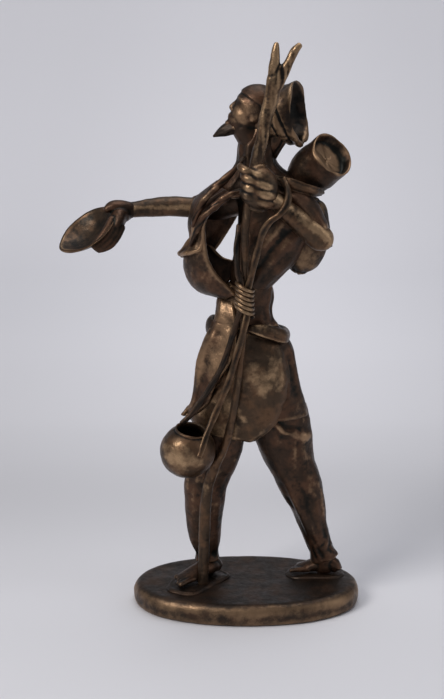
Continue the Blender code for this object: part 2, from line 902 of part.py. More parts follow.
def make_scarf():
    outer = strand(
        "scarf_outer",
        RUBBED,
        ((-4.6, -9.6, 238.0), (-8.4, -11.6, 232.6), (-14.0, -13.4, 226.8), (-19.4, -14.6, 220.8), (-24.0, -14.6, 214.4)),
        1.5,
    )
    inner = strand(
        "scarf_inner",
        RUBBED,
        ((-9.0, -15.8, 226.2), (-15.6, -16.6, 220.6), (-21.6, -16.2, 212.6), (-25.6, -14.4, 203.0), (-28.4, -11.6, 194.6)),
        1.6,
    )
    return outer, inner


def make_baggage():
    """The sack is a hollow barrel: its loft less an inner loft that opens at the top."""
    body = (
        (27.6, 5.0, 221.0, 6.6, 6.0),
        (29.4, 4.8, 225.4, 10.2, 9.0),
        (33.0, 3.6, 231.0, 12.2, 10.4),
        (38.4, 1.4, 237.0, 11.4, 10.4),
        (42.8, -0.8, 242.2, 11.2, 11.0),
    )
    sack = loft("sack", BROWN, body, sides=16)
    wall = 1.8
    hollow = [(x, y, z, w - wall, d - wall) for x, y, z, w, d in body[2:]]
    hollow.append((46.4, -2.6, 246.4, 9.8, 9.6))
    mouth = loft("mouth", BROWN, hollow, sides=16)
    mouth.hide_render = True
    mouth.display_type = "WIRE"
    boolean(sack, mouth, "DIFFERENCE")
    strap = loft(
        "sack_strap",
        RUBBED,
        (
            (15.6, -12.8, 230.0, 1.9, 0.9),
            (21.0, -15.8, 228.4, 2.4, 1.0),
            (27.0, -15.4, 226.4, 2.4, 1.0),
            (33.0, -12.0, 224.0, 2.2, 1.0),
            (36.6, -6.0, 222.6, 1.6, 0.9),
        ),
        sides=8,
    )
    bag = loft(
        "back_bag",
        DARK,
        (
            (30.6, 3.4, 215.0, 6.2, 4.0),
            (31.0, 3.4, 211.6, 9.6, 6.8),
            (29.6, 3.4, 203.0, 12.0, 8.4),
            (28.2, 3.4, 193.4, 12.4, 8.6),
            (27.0, 3.4, 184.6, 9.4, 6.8),
            (26.0, 3.4, 179.8, 4.4, 3.4),
        ),
        sides=14,
    )
    return sack, strap, bag


# ---------------------------------------------------------------- assembly


def build():
    clear_scene()
    make_plinth()
    make_sole("front_sole", DARK, (-31.5, -10.0), (-15.6, 5.6), 10.6, 6.6)
    make_sole("rear_sole", DARK, (29.5, 7.6), (46.0, 6.4), 7.4, 6.2)
    front_foot = make_foot("front_foot", BROWN, (-13.6, 8.6), (-38.6, -13.4), (-20.9, 5.0), 5.2)
    rear_foot = make_foot("rear_foot", BROWN, (51.0, 6.0), (23.0, 8.0), (41.4, 6.0), 5.0)
    front_leg, rear_leg = make_legs()
    skirt, apron, flap, back_roll, front_roll = make_tunic()
    abdomen, torso, neck = make_trunk()
    head, beard = make_head()
    hood = make_hood()
    sleeve, arm, hand = make_right_arm()
    bowl = make_bowl()
    upper_arm, forearm = make_left_arm()
    fist = make_left_hand()
    staff = make_staff()
    make_binding()
    near_cord, far_cord = make_cords()
    pot = make_pot()
    chest, pouch = make_drapes()
    scarf_outer, scarf_inner = make_scarf()
    sack, strap, bag = make_baggage()

    make_room(front_foot, staff)
    make_room(front_leg, pot, staff)
    make_room(apron, skirt, front_leg, rear_leg, pot, staff, near_cord, far_cord)
    make_room(flap, skirt, apron, pot, far_cord, staff)
    make_room(back_roll, skirt, apron, abdomen)
    make_room(front_roll, skirt, flap, abdomen)
    make_room(pot, near_cord, far_cord)
    make_room(neck, torso, beard)
    make_room(head, neck, beard)
    make_room(hood, head, neck)
    make_room(hand, bowl, arm)
    make_room(sleeve, torso, arm)
    make_room(strap, near_cord)
    make_room(forearm, near_cord)
    make_room(upper_arm, torso, forearm, near_cord, strap)
    make_room(fist, staff, forearm, near_cord)
    make_room(chest, sleeve, arm, scarf_inner, scarf_outer)
    make_room(pouch, abdomen, torso, chest)
    make_room(bag, torso, upper_arm, forearm)
    make_room(sack, torso, upper_arm, strap, neck, hood, bag)
    make_room(torso, far_cord, near_cord, scarf_outer)


build()
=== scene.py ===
import math

import bpy
import numpy as np
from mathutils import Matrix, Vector


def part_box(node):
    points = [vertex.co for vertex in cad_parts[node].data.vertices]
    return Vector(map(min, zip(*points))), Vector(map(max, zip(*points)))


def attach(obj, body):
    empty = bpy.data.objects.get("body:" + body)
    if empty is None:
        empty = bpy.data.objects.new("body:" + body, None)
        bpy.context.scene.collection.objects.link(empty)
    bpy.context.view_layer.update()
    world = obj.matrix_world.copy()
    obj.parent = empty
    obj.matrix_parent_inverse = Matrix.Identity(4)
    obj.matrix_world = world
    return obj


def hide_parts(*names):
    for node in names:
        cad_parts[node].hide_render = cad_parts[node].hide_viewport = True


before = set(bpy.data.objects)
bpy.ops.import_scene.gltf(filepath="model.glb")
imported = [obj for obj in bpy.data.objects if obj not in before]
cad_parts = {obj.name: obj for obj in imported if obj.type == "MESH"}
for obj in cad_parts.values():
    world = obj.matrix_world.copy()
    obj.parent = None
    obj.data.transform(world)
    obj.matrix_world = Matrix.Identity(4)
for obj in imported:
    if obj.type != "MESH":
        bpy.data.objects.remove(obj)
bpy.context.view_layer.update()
mm = 0.001  # every shape is worked out in millimetres and turned into metres at the end
scene = bpy.context.scene

# camera, light and floor

camera = {
    "place": (-0.0129, -1.0, 0.4305), "tiltDown": 16.26, "lens": 104.32, "sensor": 36.0,
    "nearest": 0.05, "farthest": 20.0,
}
view = bpy.data.cameras.new("camera")
view.lens = camera["lens"]
view.sensor_width = camera["sensor"]
view.clip_start = camera["nearest"]
view.clip_end = camera["farthest"]
viewObject = bpy.data.objects.new("camera", view)
viewObject.location = camera["place"]
viewObject.rotation_euler = (math.radians(90 - camera["tiltDown"]), 0.0, 0.0)
scene.collection.objects.link(viewObject)
scene.camera = viewObject
scene.view_settings.view_transform = "Standard"

studio = {
    "skyColour": (0.86, 0.88, 0.96),
    "skyStrength": 0.27,
    "floorColour": (0.742, 0.734, 0.768),
    "wallDistance": 1.25,
    "coveRadius": 0.55,
    # painted light and shade: brightness of the paper at distances behind the figure, in metres
    "shade": (
        (-0.30, 0.86), (-0.05, 0.88), (0.02, 0.86), (0.08, 0.78), (0.15, 0.71), (0.22, 0.75),
        (0.30, 0.84), (0.45, 0.94), (0.62, 1.02), (0.78, 1.08), (0.90, 1.09), (1.00, 1.07), (1.06, 1.04),
        (1.12, 1.01), (1.20, 0.98),
    ),
    # a brighter pool of light behind the figure: centre, reach and strength
    "poolCentre": (0.02, 0.5),
    "poolReach": (0.24, 0.9),
    "poolStrength": 0.22,
    "wallTop": 0.27,
    "paperRoughness": 0.7,
}
lamps = [
    # name, place, aims at, size across and up, watts, colour
    ("keyLight", (-0.85, -0.70, 1.00), (0.0, 0.0, 0.16), 0.6, 0.6, 11.2, (1.0, 0.98, 0.95)),
    ("topLight", (0.1, 0.2, 1.35), (0.0, 0.1, 0.1), 1.0, 1.0, 7.6, (0.97, 0.98, 1.0)),
    ("sideLight", (1.1, -0.3, 0.5), (0.0, 0.0, 0.15), 0.4, 0.9, 1.5, (0.95, 0.97, 1.0)),
]


# sets the named inputs of a shader node
def setInputs(node, values):
    for label, value in values.items():
        node.inputs[label].default_value = value


def makeLamps():
    for name, place, target, across, up, watts, colour in lamps:
        lamp = bpy.data.lights.new(name, "AREA")
        lamp.shape = "RECTANGLE"
        lamp.size = across
        lamp.size_y = up
        lamp.energy = watts
        lamp.color = colour
        holder = bpy.data.objects.new(name, lamp)
        holder.location = place
        aim = Vector(target) - Vector(place)
        holder.rotation_euler = aim.to_track_quat("-Z", "Y").to_euler()
        scene.collection.objects.link(holder)
    world = bpy.data.worlds.new("studio")
    world.use_nodes = True
    background = world.node_tree.nodes["Background"]
    setInputs(background, {"Color": (*studio["skyColour"], 1.0), "Strength": studio["skyStrength"]})
    scene.world = world


def paperMaterial():
    made = bpy.data.materials.new("palePaper")
    made.use_nodes = True
    nodes, links = made.node_tree.nodes, made.node_tree.links
    shader = nodes["Principled BSDF"]
    coords = nodes.new("ShaderNodeTexCoord")
    split = nodes.new("ShaderNodeSeparateXYZ")
    share = nodes.new("ShaderNodeMapRange")
    # painted light and shade on the paper: a ramp over its distance back scales its colour
    stops = studio["shade"]
    setInputs(share, {"From Min": stops[0][0], "From Max": stops[-1][0]})
    paintedLightAndShade = nodes.new("ShaderNodeValToRGB")
    paintedLightAndShade.color_ramp.interpolation = "CARDINAL"
    elements = paintedLightAndShade.color_ramp.elements
    for element, bright in ((elements[0], stops[0][1]), (elements[-1], stops[-1][1])):
        element.color = (*[c * bright for c in studio["floorColour"]], 1.0)
    for distance, bright in stops[1:-1]:
        element = elements.new((distance - stops[0][0]) / (stops[-1][0] - stops[0][0]))
        element.color = (*[c * bright for c in studio["floorColour"]], 1.0)
    links.new(coords.outputs["Object"], split.inputs["Vector"])
    links.new(split.outputs["Y"], share.inputs["Value"])
    links.new(share.outputs["Result"], paintedLightAndShade.inputs["Fac"])
    # the pool falls off evenly from its centre, then a smooth step rounds it
    (poolX, poolY), (reachX, reachY) = studio["poolCentre"], studio["poolReach"]
    place = nodes.new("ShaderNodeMapping")
    setInputs(place, {
        "Location": (-poolX / reachX, -poolY / reachY, 0.0), "Scale": (1 / reachX, 1 / reachY, 0.0),
    })
    fall = nodes.new("ShaderNodeTexGradient")
    fall.gradient_type = "SPHERICAL"
    pool = nodes.new("ShaderNodeMapRange")
    pool.interpolation_type = "SMOOTHSTEP"
    setInputs(pool, {"To Min": 1.0, "To Max": 1.0 + studio["poolStrength"]})
    scaled = nodes.new("ShaderNodeVectorMath")
    scaled.operation = "SCALE"
    links.new(coords.outputs["Object"], place.inputs["Vector"])
    links.new(place.outputs["Vector"], fall.inputs["Vector"])
    links.new(fall.outputs["Fac"], pool.inputs["Value"])
    links.new(paintedLightAndShade.outputs["Color"], scaled.inputs[0])
    links.new(pool.outputs["Result"], scaled.inputs["Scale"])
    links.new(scaled.outputs["Vector"], shader.inputs["Base Color"])
    setInputs(shader, {"Roughness": studio["paperRoughness"]})
    return made


# the floor runs back level and curves up on part of a circle, as far as the wall top
def makeCove():
    radius = studio["coveRadius"]
    start = studio["wallDistance"] - radius
    turn = np.linspace(0, math.acos(1 - studio["wallTop"] / radius), 24)
    depth = np.concatenate([[-3.0, -1.0], start + radius * np.sin(turn)])
    height = np.concatenate([[0.0, 0.0], radius - radius * np.cos(turn)])
    across = np.array([-3.0, 3.0])
    x = np.broadcast_to(across[None, :], (len(depth), 2))
    y = np.broadcast_to(depth[:, None], x.shape)
    z = np.broadcast_to(height[:, None], x.shape)
    points = np.stack([x, y, z], -1).reshape(-1, 3)
    i = np.arange(len(depth) - 1) * 2
    faces = np.stack([i, i + 1, i + 3, i + 2], -1)
    mesh = bpy.data.meshes.new("cove")
    mesh.from_pydata(points.tolist(), [], faces.tolist())
    mesh.shade_smooth()
    cove = bpy.data.objects.new("cove", mesh)
    cove.data.materials.append(paperMaterial())
    scene.collection.objects.link(cove)


makeLamps()
makeCove()
print("studio ready")

# numpy surface tools


# smooth curve through rows of numbers: each new row is the cubic (Catmull-Rom) of its four
# neighbours
def smoothRows(rows, count):
    rows = np.asarray(rows, float)
    last = len(rows) - 1
    t = np.linspace(0, last, count)
    i = np.minimum(t.astype(int), last - 1)
    f = (t - i).reshape((-1,) + (1,) * (rows.ndim - 1))
    a, b = rows[np.maximum(i - 1, 0)], rows[i]
    c, d = rows[i + 1], rows[np.minimum(i + 2, last)]
    cubic = (2 * a - 5 * b + 4 * c - d) * f**2 + (3 * b - a - 3 * c + d) * f**3
    return 0.5 * (2 * b + (c - a) * f + cubic)


# the same curve, with its rows evenly spaced along the path in the first three columns
def evenRows(rows, spacing, path=3):
    dense = smoothRows(rows, 40 * len(rows))
    steps = np.linalg.norm(np.diff(dense[:, :path], axis=0), axis=1)
    length = np.concatenate([[0.0], np.cumsum(steps)])
    count = max(4, int(math.ceil(length[-1] / spacing)) + 1)
    at = np.linspace(0, length[-1], count)
    return np.stack([np.interp(at, length, dense[:, k]) for k in range(dense.shape[1])], -1)


# vectors divided by their length
def unit(vectors):
    return vectors / np.maximum(np.linalg.norm(vectors, axis=-1, keepdims=True), 1e-9)


# a bell curve: e to the minus square of value / width
def bell(value, width):
    return np.exp(-((value / width) ** 2))


# a value kept between 0 and 1
def held(value):
    return np.clip(value, 0, 1)


# random height field in space: hashed heights at the corners of a grid, blended smoothly
def lumps(points, size, seed=0):
    p = np.asarray(points) / size + 11.7 + 3.1 * seed
    cell = np.floor(p)
    f = p - cell
    f = f * f * (3 - 2 * f)
    cell = cell.astype(np.int64)
    total = 0.0
    for corner in range(8):
        step = np.array([corner & 1, corner >> 1 & 1, corner >> 2])
        at = cell + step
        h = at[..., 0] * 374761393 + at[..., 1] * 668265263 + at[..., 2] * 1440662683 + seed * 7919
        h = (h ^ (h >> 13)) * 1274126177
        height = ((h ^ (h >> 16)) & 0xFFFF) / 32767.5 - 1
        total = total + height * np.prod(np.where(step, f, 1 - f), axis=-1)
    return total


# share of the way down the rows, and the angle round each ring
def shares(rings):
    rows, sides = rings.shape[:2]
    return np.linspace(0, 1, rows)[:, None], np.linspace(0, 2 * math.pi, sides, endpoint=False)[None, :]


# the same two shares for a sheet: down its rows and across its columns
def sheetShares(rows, columns):
    return np.linspace(0, 1, rows)[:, None], np.linspace(0, 1, columns)[None, :]


# the normal of a ring grid: the step round crossed with the step down, turned outward
def ringNormals(rings):
    down = np.gradient(rings, axis=0)
    around = np.roll(rings, -1, 1) - np.roll(rings, 1, 1)
    normals = unit(np.cross(around, down))
    outward = rings - rings.mean(axis=1, keepdims=True)
    return normals if (normals * outward).sum() > 0 else -normals


# a surface moved out along its normals
def pushed(rings, amount):
    return rings + ringNormals(rings) * np.broadcast_to(amount, rings.shape[:2])[..., None]


# a raised or sunk line round a limb: a bell across the angle, which drifts as it runs along
def crease(rings, angle, drift, width, height, start=0.0, stop=1.0):
    u, a = shares(rings)
    off = np.angle(np.exp(1j * (a - math.radians(angle) - math.radians(drift) * u)))
    middle, half = (start + stop) / 2, (stop - start) / 2
    window = np.exp(-(np.abs((u - middle) / half) ** 3) * 1.4)
    return height * bell(off, math.radians(width)) * window


# a shape with more creases added: rows of (angle, drift, width, height, start, stop)
def creased(rings, shape, rows):
    for row in rows:
        shape = shape + crease(rings, *row)
    return shape


# uneven folds: random heights over the angle and a drawn-out length, so that they run
# along the limb and drift round it
def folds(rings, across, along, drift, height, seed):
    u, a = shares(rings)
    centre = rings.mean(axis=1)
    length = np.linalg.norm(np.diff(centre, axis=0), axis=1).sum()
    radius = np.linalg.norm(rings - centre[:, None], axis=-1).mean()
    turn = a + drift * u
    spot = np.stack([
        radius * np.cos(turn) / across, radius * np.sin(turn) / across, length * u / along + 0 * a,
    ], -1)
    field = lumps(spot, 1.0, seed) + 0.5 * lumps(spot * (2, 2, 1.6), 1.0, seed + 1)
    return height * field


domeAngles = np.radians(np.linspace(0, 88, 7))[1:]


# ends of a limb: rows that go on along its path and shrink as a quarter circle
def domed(rows, along, roundness):
    a = domeAngles
    ends = []
    for row, way, share in ((rows[0], -along[0], roundness[0]), (rows[-1], along[-1], roundness[1])):
        extra = np.repeat(row[None, :], len(a), 0)
        reach = share * min(row[3], row[4])
        extra[:, :3] += way * (reach * np.sin(a))[:, None]
        extra[:, 3:5] *= np.cos(a)[:, None]
        ends.append(extra)
    full = np.concatenate([ends[0][::-1], rows, ends[1]])
    ways = np.concatenate([np.repeat(along[:1], len(a), 0), along, np.repeat(along[-1:], len(a), 0)])
    return full, ways


# a limb: ellipses carried along a smooth path, across * width * cos + deep * depth * sin
def limb(rows, spacing=0.6, deepAxis=(0, 1, 0), roundness=(0.8, 0.8)):
    rows = evenRows(rows, spacing)
    along = unit(np.gradient(rows[:, :3], axis=0))
    rows, along = domed(rows, along, roundness)
    across = unit(np.cross(np.asarray(deepAxis, float), along))
    deep = np.cross(along, across)
    sides = max(12, 2 * int(math.pi * rows[:, 3:5].max() / spacing))
    a = np.linspace(0, 2 * math.pi, sides, endpoint=False)[None, :, None]
    width, depth = rows[:, None, 3:4], rows[:, None, 4:5]
    return rows[:, None, :3] + across[:, None] * width * np.cos(a) + deep[:, None] * depth * np.sin(a)


# a trunk: level ovals with closed ends, a row is height, x low, x high, y low, y high
def trunk(rows, spacing=0.7, lid=0.8):
    rows = np.asarray(rows, float)
    rows = evenRows(rows, spacing, path=1)
    a = domeAngles
    ends = []
    for row, way in ((rows[0], -1), (rows[-1], 1)):
        middleX, middleY = (row[1] + row[2]) / 2, (row[3] + row[4]) / 2
        middle = np.array([row[0], middleX, middleX, middleY, middleY])
        extra = middle + (row - middle) * np.cos(a)[:, None]
        extra[:, 0] = row[0] + np.sign(rows[-1, 0] - rows[0, 0]) * way * lid * np.sin(a)
        ends.append(extra)
    rows = np.concatenate([ends[0][::-1], rows, ends[1]])
    sides = 2 * int(math.pi * (rows[:, 2] - rows[:, 1]).max() / 2 / spacing)
    a = np.linspace(0, 2 * math.pi, sides, endpoint=False)[None, :]
    x = (rows[:, 1:2] + rows[:, 2:3]) / 2 + (rows[:, 2:3] - rows[:, 1:2]) / 2 * np.cos(a)
    y = (rows[:, 3:4] + rows[:, 4:5]) / 2 + (rows[:, 4:5] - rows[:, 3:4]) / 2 * np.sin(a)
    z = np.broadcast_to(rows[:, :1], x.shape)
    return np.stack([x, y, z], -1)


# two directions square to an axis
def crossAxes(axis):
    axis = unit(np.asarray(axis, float))
    side = unit(np.cross(axis, (0, 1, 0) if abs(axis[1]) < 0.8 else (1, 0, 0)))
    return side, np.cross(axis, side), axis


# a turned shape: a profile of (radius, height) spun round an axis
def turned(profile, centre, axis, spacing=0.6):
    flat = np.asarray(profile, float)
    flat = np.stack([flat[:, 0], flat[:, 1], np.zeros(len(flat))], -1)
    rows = evenRows(flat, spacing)
    radius, height = np.maximum(rows[:, 0], 0.02), rows[:, 1]
    side, other, axis = crossAxes(axis)
    sides = 2 * int(math.pi * radius.max() / spacing)
    a = np.linspace(0, 2 * math.pi, sides, endpoint=False)
    circle = side[None, :] * np.cos(a)[:, None] + other[None, :] * np.sin(a)[:, None]
    return np.asarray(centre, float) + radius[:, None, None] * circle[None] + height[:, None, None] * axis


# an ellipsoid: rings between its poles, along its third axis
def ball(centre, radii, axis=(0, 0, 1), spacing=0.5):
    side, other, axis = crossAxes(axis)
    count = max(8, int(math.pi * max(radii) / spacing))
    lat = np.radians(np.linspace(-88, 88, count))[:, None, None]
    a = np.linspace(0, 2 * math.pi, 2 * count, endpoint=False)[None, :, None]
    flat = radii[0] * np.cos(a) * side + radii[1] * np.sin(a) * other
    return np.asarray(centre, float) + np.cos(lat) * flat + np.sin(lat) * radii[2] * axis


# a sheet with a round edge: front, edge, back, edge make one flat ring for each row
def slab(grid, thickness):
    down, over = np.gradient(grid, axis=0), np.gradient(grid, axis=1)
    normals = unit(np.cross(down, over))
    half = np.broadcast_to(np.asarray(thickness, float) / 2, grid.shape[:2])
    a = np.radians(np.linspace(0, 180, 7))[1:-1]

    def rim(centre, normal, halves, edgeWay, sign):
        return [
            centre + halves[..., None] * (sign * (normal * math.cos(t) + edgeWay * math.sin(t)))
            for t in a
        ]

    def ring(centre, normal, halves, edgeWay):
        front = centre + normal * halves[..., None]
        back = centre - normal * halves[..., None]
        last = rim(centre[:, -1:], normal[:, -1:], halves[:, -1:], edgeWay[:, -1:], 1)
        first = rim(centre[:, :1], normal[:, :1], halves[:, :1], edgeWay[:, :1], -1)
        return np.concatenate([front] + last + [back[:, ::-1]] + first, axis=1)

    way, sideWay = unit(down), unit(over)
    parts = []
    for t in np.radians([80, 60, 40, 20]):
        shift = -way[:1] * half[:1, :, None] * math.sin(t)
        parts.append(ring(grid[:1] + shift, normals[:1], half[:1] * math.cos(t), sideWay[:1]))
    parts.append(ring(grid, normals, half, sideWay))
    for t in np.radians([20, 40, 60, 80]):
        shift = way[-1:] * half[-1:, :, None] * math.sin(t)
        parts.append(ring(grid[-1:] + shift, normals[-1:], half[-1:] * math.cos(t), sideWay[-1:]))
    return np.concatenate(parts)


# meshes


# faces between neighbouring rings, and a zip of faces across each end ring
def quadsOf(rings):
    rows, sides = rings.shape[:2]
    if sides % 2:
        raise ValueError("a ring needs an even number of points")
    i, j = np.meshgrid(np.arange(rows - 1), np.arange(sides), indexing="ij")
    k = (j + 1) % sides
    walls = np.stack([
        i * sides + j, i * sides + k, (i + 1) * sides + k, (i + 1) * sides + j,
    ], -1).reshape(-1, 4)
    p = np.arange(sides // 2 - 1)
    first = np.stack([p, sides - 1 - p, sides - 2 - p, p + 1], -1)
    base = (rows - 1) * sides
    last = base + np.stack([p, p + 1, sides - 2 - p, sides - 1 - p], -1)
    return np.concatenate([walls, first, last])


# faces turned over if the volume they close, summed over two triangles each, is negative
def facedOut(points, faces):
    a, b, c, d = (points[faces[:, k]] for k in range(4))
    volume = (a * np.cross(b, c)).sum() + (a * np.cross(c, d)).sum()
    return faces if volume > 0 else faces[:, ::-1]


# the points and faces of several parts as one list each
def joined(parts):
    points, faces, start = [], [], 0
    for rings in parts:
        flat = rings.reshape(-1, 3)
        faces.append(facedOut(flat, quadsOf(rings)) + start)
        points.append(flat)
        start += len(flat)
    return np.concatenate(points), np.concatenate(faces)


def meshOf(name, points, faces):
    mesh = bpy.data.meshes.new(name)
    mesh.vertices.add(len(points))
    mesh.vertices.foreach_set("co", (points * mm).astype(np.float32).ravel())
    mesh.loops.add(faces.size)
    mesh.loops.foreach_set("vertex_index", faces.astype(np.int32).ravel())
    mesh.polygons.add(len(faces))
    mesh.polygons.foreach_set("loop_start", np.arange(0, faces.size, 4, dtype=np.int32))
    mesh.update(calc_edges=True)
    return mesh


# parts melted into one skin by a voxel remesh
def melted(points, faces, voxel):
    mesh = meshOf("melt", points, faces)
    holder = bpy.data.objects.new("melt", mesh)
    scene.collection.objects.link(holder)
    step = holder.modifiers.new("melt", "REMESH")
    step.mode = "VOXEL"
    step.voxel_size = voxel * mm
    bpy.context.view_layer.update()
    result = holder.evaluated_get(bpy.context.evaluated_depsgraph_get()).to_mesh()
    found = np.empty(len(result.vertices) * 3, np.float32)
    result.vertices.foreach_get("co", found)
    quads = np.empty(len(result.loops), np.int32)
    result.loops.foreach_get("vertex_index", quads)
    bpy.data.objects.remove(holder)
    bpy.data.meshes.remove(mesh)
    return found.reshape(-1, 3).astype(float) / mm, quads.reshape(-1, 4)


def edgesOf(faces):
    pairs = np.concatenate([faces[:, [k, (k + 1) % 4]] for k in range(4)])
    return np.unique(np.sort(pairs, axis=1), axis=0)


# each value becomes the mean of its neighbours', a number of times over
def spread(values, edges, rounds):
    count = len(values)
    a, b = edges[:, 0], edges[:, 1]
    degree = np.maximum(np.bincount(a, minlength=count) + np.bincount(b, minlength=count), 1)
    for _ in range(rounds):
        total = [
            np.bincount(a, values[b, k], count) + np.bincount(b, values[a, k], count)
            for k in range(values.shape[1])
        ]
        values = np.stack(total, -1) / degree[:, None]
    return values


# the normal at a point is the mean of the crossed diagonals of its faces
def pointNormals(points, faces):
    a, b, c, d = (points[faces[:, k]] for k in range(4))
    flat = np.cross(c - a, d - b)
    total = np.stack(
        [np.bincount(faces.ravel(), np.repeat(flat[:, k], 4), len(points)) for k in range(3)], -1
    )
    return unit(total)


# height and size, in millimetres, of broad lumps, dents and fine grain
skinLayers = ((0.16, 6.5), (0.10, 2.9), (0.045, 1.3))


# the skin of a hand-worked wax: the sum of its layers of lumps
def waxSkin(points, amount, seed):
    return amount * sum(
        height * lumps(points, size, seed + k) for k, (height, size) in enumerate(skinLayers)
    )


# how a worn surface is found: rounds and weight of the near view, rounds of the wide view,
# shares of the surface taken as low, middle and high, steepness and least spread in mm
wear = {"near": 3, "nearWeight": 6.0, "wide": 22, "marks": (12, 50, 88), "slope": 0.42, "least": 0.22}
madePieces = []


# makes one piece: joins or melts its parts, works the wax, finds where it would be rubbed bright,
# adds painted highlights and painted shade, and puts it in place of its CAD node; its name is
# the node's in camelCase
def addPiece(
    node, slot, parts, wax=1.0, melt=None, soften=0, polishAndPaintedLight=(), seed=None, carve=None, paint=0, name=None,
):
    first, *rest = node.split("_")
    name = name or first + "".join(word.capitalize() for word in rest)
    seed = len(madePieces) * 3 if seed is None else seed
    points, faces = joined(parts)
    if melt:
        points, faces = melted(points, faces, melt)
    edges = edgesOf(faces)
    if soften:
        points = spread(points, edges, soften)
    if carve:
        points = points + pointNormals(points, faces) * carve(points)[:, None]
    normals = pointNormals(points, faces)
    points = points + normals * waxSkin(points, wax, seed)[:, None]
    normals = pointNormals(points, faces)
    near, wide = spread(points, edges, wear["near"]), spread(points, edges, wear["wide"])
    raised = ((points - near) * normals).sum(1) * wear["nearWeight"] + ((points - wide) * normals).sum(1)
    low, middle, high = np.percentile(raised, wear["marks"])
    worn = 0.5 + 0.5 * np.tanh(wear["slope"] * (raised - middle) / max((high - low) / 2, wear["least"]))
    rubbed = np.zeros(len(points))
    # the spots and the paint lighten or darken the bronze: rubbed wear and painted highlights above zero,
    # painted shade below zero
    for x, y, z, reach, strength in polishAndPaintedLight:
        away = np.linalg.norm(points - (x, y, z), axis=1) / reach
        rubbed = rubbed + strength * np.exp(-(away**2))
    rubbed = rubbed + (paint(points) if callable(paint) else paint)
    mesh = meshOf(name, points, faces)
    for label, values in (("worn", worn), ("rubbed", np.clip(rubbed, -1.5, 2))):
        layer = mesh.attributes.new(label, "FLOAT", "POINT")
        layer.data.foreach_set("value", values.astype(np.float32))
    mesh.shade_smooth()
    mesh.materials.append(bronzes[slot])
    made = bpy.data.objects.new(name, mesh)
    scene.collection.objects.link(made)
    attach(made, "root")
    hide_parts(node)
    madePieces.append(made)


metal = {"metallic": 0.82, "bumpStrength": 0.5, "bumpDistance": 0.0006}
# patina values for each slot of the record; colours are linear; the lighter second slot is partly
# a lit copy of the brown one and the dark slot partly a shaded copy, as painted light and shade
patinas = {
    "brown": {
        "deep": (0.010, 0.010, 0.008), "base": (0.044, 0.027, 0.018), "warm": (0.090, 0.046, 0.027),
        "gold": (0.30, 0.185, 0.105), "wear": 0.60, "rough": 0.38,
    },
    "rubbed": {
        "deep": (0.013, 0.011, 0.009), "base": (0.066, 0.042, 0.026), "warm": (0.120, 0.066, 0.036),
        "gold": (0.37, 0.24, 0.135), "wear": 0.50, "rough": 0.34,
    },
    "dark": {
        "deep": (0.009, 0.009, 0.008), "base": (0.034, 0.024, 0.018), "warm": (0.062, 0.036, 0.023),
        "gold": (0.24, 0.15, 0.085), "wear": 0.64, "rough": 0.40,
    },
}


# bronze: dark in hollows, brown, then gold where it is worn or rubbed; the second attribute also
# brings painted highlights that lighten it and painted shade that darkens it
def bronzeMaterial(slot, look):
    made = bpy.data.materials.new(slot + "Bronze")
    made.use_nodes = True
    nodes, links = made.node_tree.nodes, made.node_tree.links
    shader = nodes["Principled BSDF"]
    coords = nodes.new("ShaderNodeTexCoord")

    def noise(scale, detail, rough=0.55):
        node = nodes.new("ShaderNodeTexNoise")
        setInputs(node, {"Scale": scale, "Detail": detail, "Roughness": rough})
        links.new(coords.outputs["Object"], node.inputs["Vector"])
        return node.outputs["Fac"]

    def ramp(value, low, high, first=0.0, last=1.0):
        node = nodes.new("ShaderNodeMapRange")
        node.interpolation_type = "SMOOTHSTEP"
        setInputs(node, {"From Min": low, "From Max": high, "To Min": first, "To Max": last})
        links.new(value, node.inputs["Value"])
        return node.outputs["Result"]

    def maths(operation, a, b):
        node = nodes.new("ShaderNodeMath")
        node.operation = operation
        for socket, value in zip(node.inputs, (a, b)):
            if isinstance(value, (int, float)):
                socket.default_value = value
            else:
                links.new(value, socket)
        return node.outputs["Value"]

    def blend(share, a, b):
        node = nodes.new("ShaderNodeMix")
        node.data_type = "RGBA"
        links.new(share, node.inputs["Factor"])
        for socket, value in ((node.inputs[6], a), (node.inputs[7], b)):
            if isinstance(value, tuple):
                socket.default_value = (*value, 1.0)
            else:
                links.new(value, socket)
        return node.outputs[2]

    def attribute(label):
        node = nodes.new("ShaderNodeAttribute")
        node.attribute_name = label
        return node.outputs["Fac"]

    def swayed(value, by, amount):
        return maths("ADD", value, maths("MULTIPLY", maths("SUBTRACT", by, 0.5), amount))

    wide, broad = noise(60.0, 4.0), noise(110.0, 3.0)
    patches, grain = noise(330.0, 5.0, 0.65), noise(1500.0, 3.0, 0.6)
    worn, rubbed = attribute("worn"), attribute("rubbed")
    colour = blend(ramp(broad, 0.40, 0.62), look["base"], look["warm"])
    hollow = swayed(swayed(worn, patches, 0.5), wide, 0.7)
    colour = blend(ramp(hollow, 0.10, 0.52), look["deep"], colour)
    shown = swayed(swayed(worn, patches, 0.5), wide, 0.8)
    # the second attribute adds rubbed wear, painted highlights and painted shade
    shown = maths("ADD", shown, maths("MULTIPLY", rubbed, 0.5))
    shown = swayed(shown, grain, 0.25)
    bright = ramp(shown, look["wear"] - 0.04, look["wear"] + 0.52)
    colour = blend(bright, colour, look["gold"])
    links.new(colour, shader.inputs["Base Color"])
    setInputs(shader, {"Metallic": metal["metallic"]})
    rough = maths(
        "ADD", ramp(patches, 0.3, 0.7, look["rough"] + 0.12, look["rough"] - 0.04),
        maths("MULTIPLY", bright, -0.06),
    )
    links.new(rough, shader.inputs["Roughness"])
    relief = maths("ADD", maths("MULTIPLY", patches, 0.7), maths("MULTIPLY", grain, 0.3))
    bump = nodes.new("ShaderNodeBump")
    setInputs(bump, {"Strength": metal["bumpStrength"], "Distance": metal["bumpDistance"]})
    links.new(relief, bump.inputs["Height"])
    links.new(bump.outputs["Normal"], shader.inputs["Normal"])
    return made


bronzes = {slot: bronzeMaterial(slot, look) for slot, look in patinas.items()}
print("bronze ready")

# plinth and soles

plinth = {"spacing": 0.9, "topLumps": 0.45, "rimLumps": 0.5}


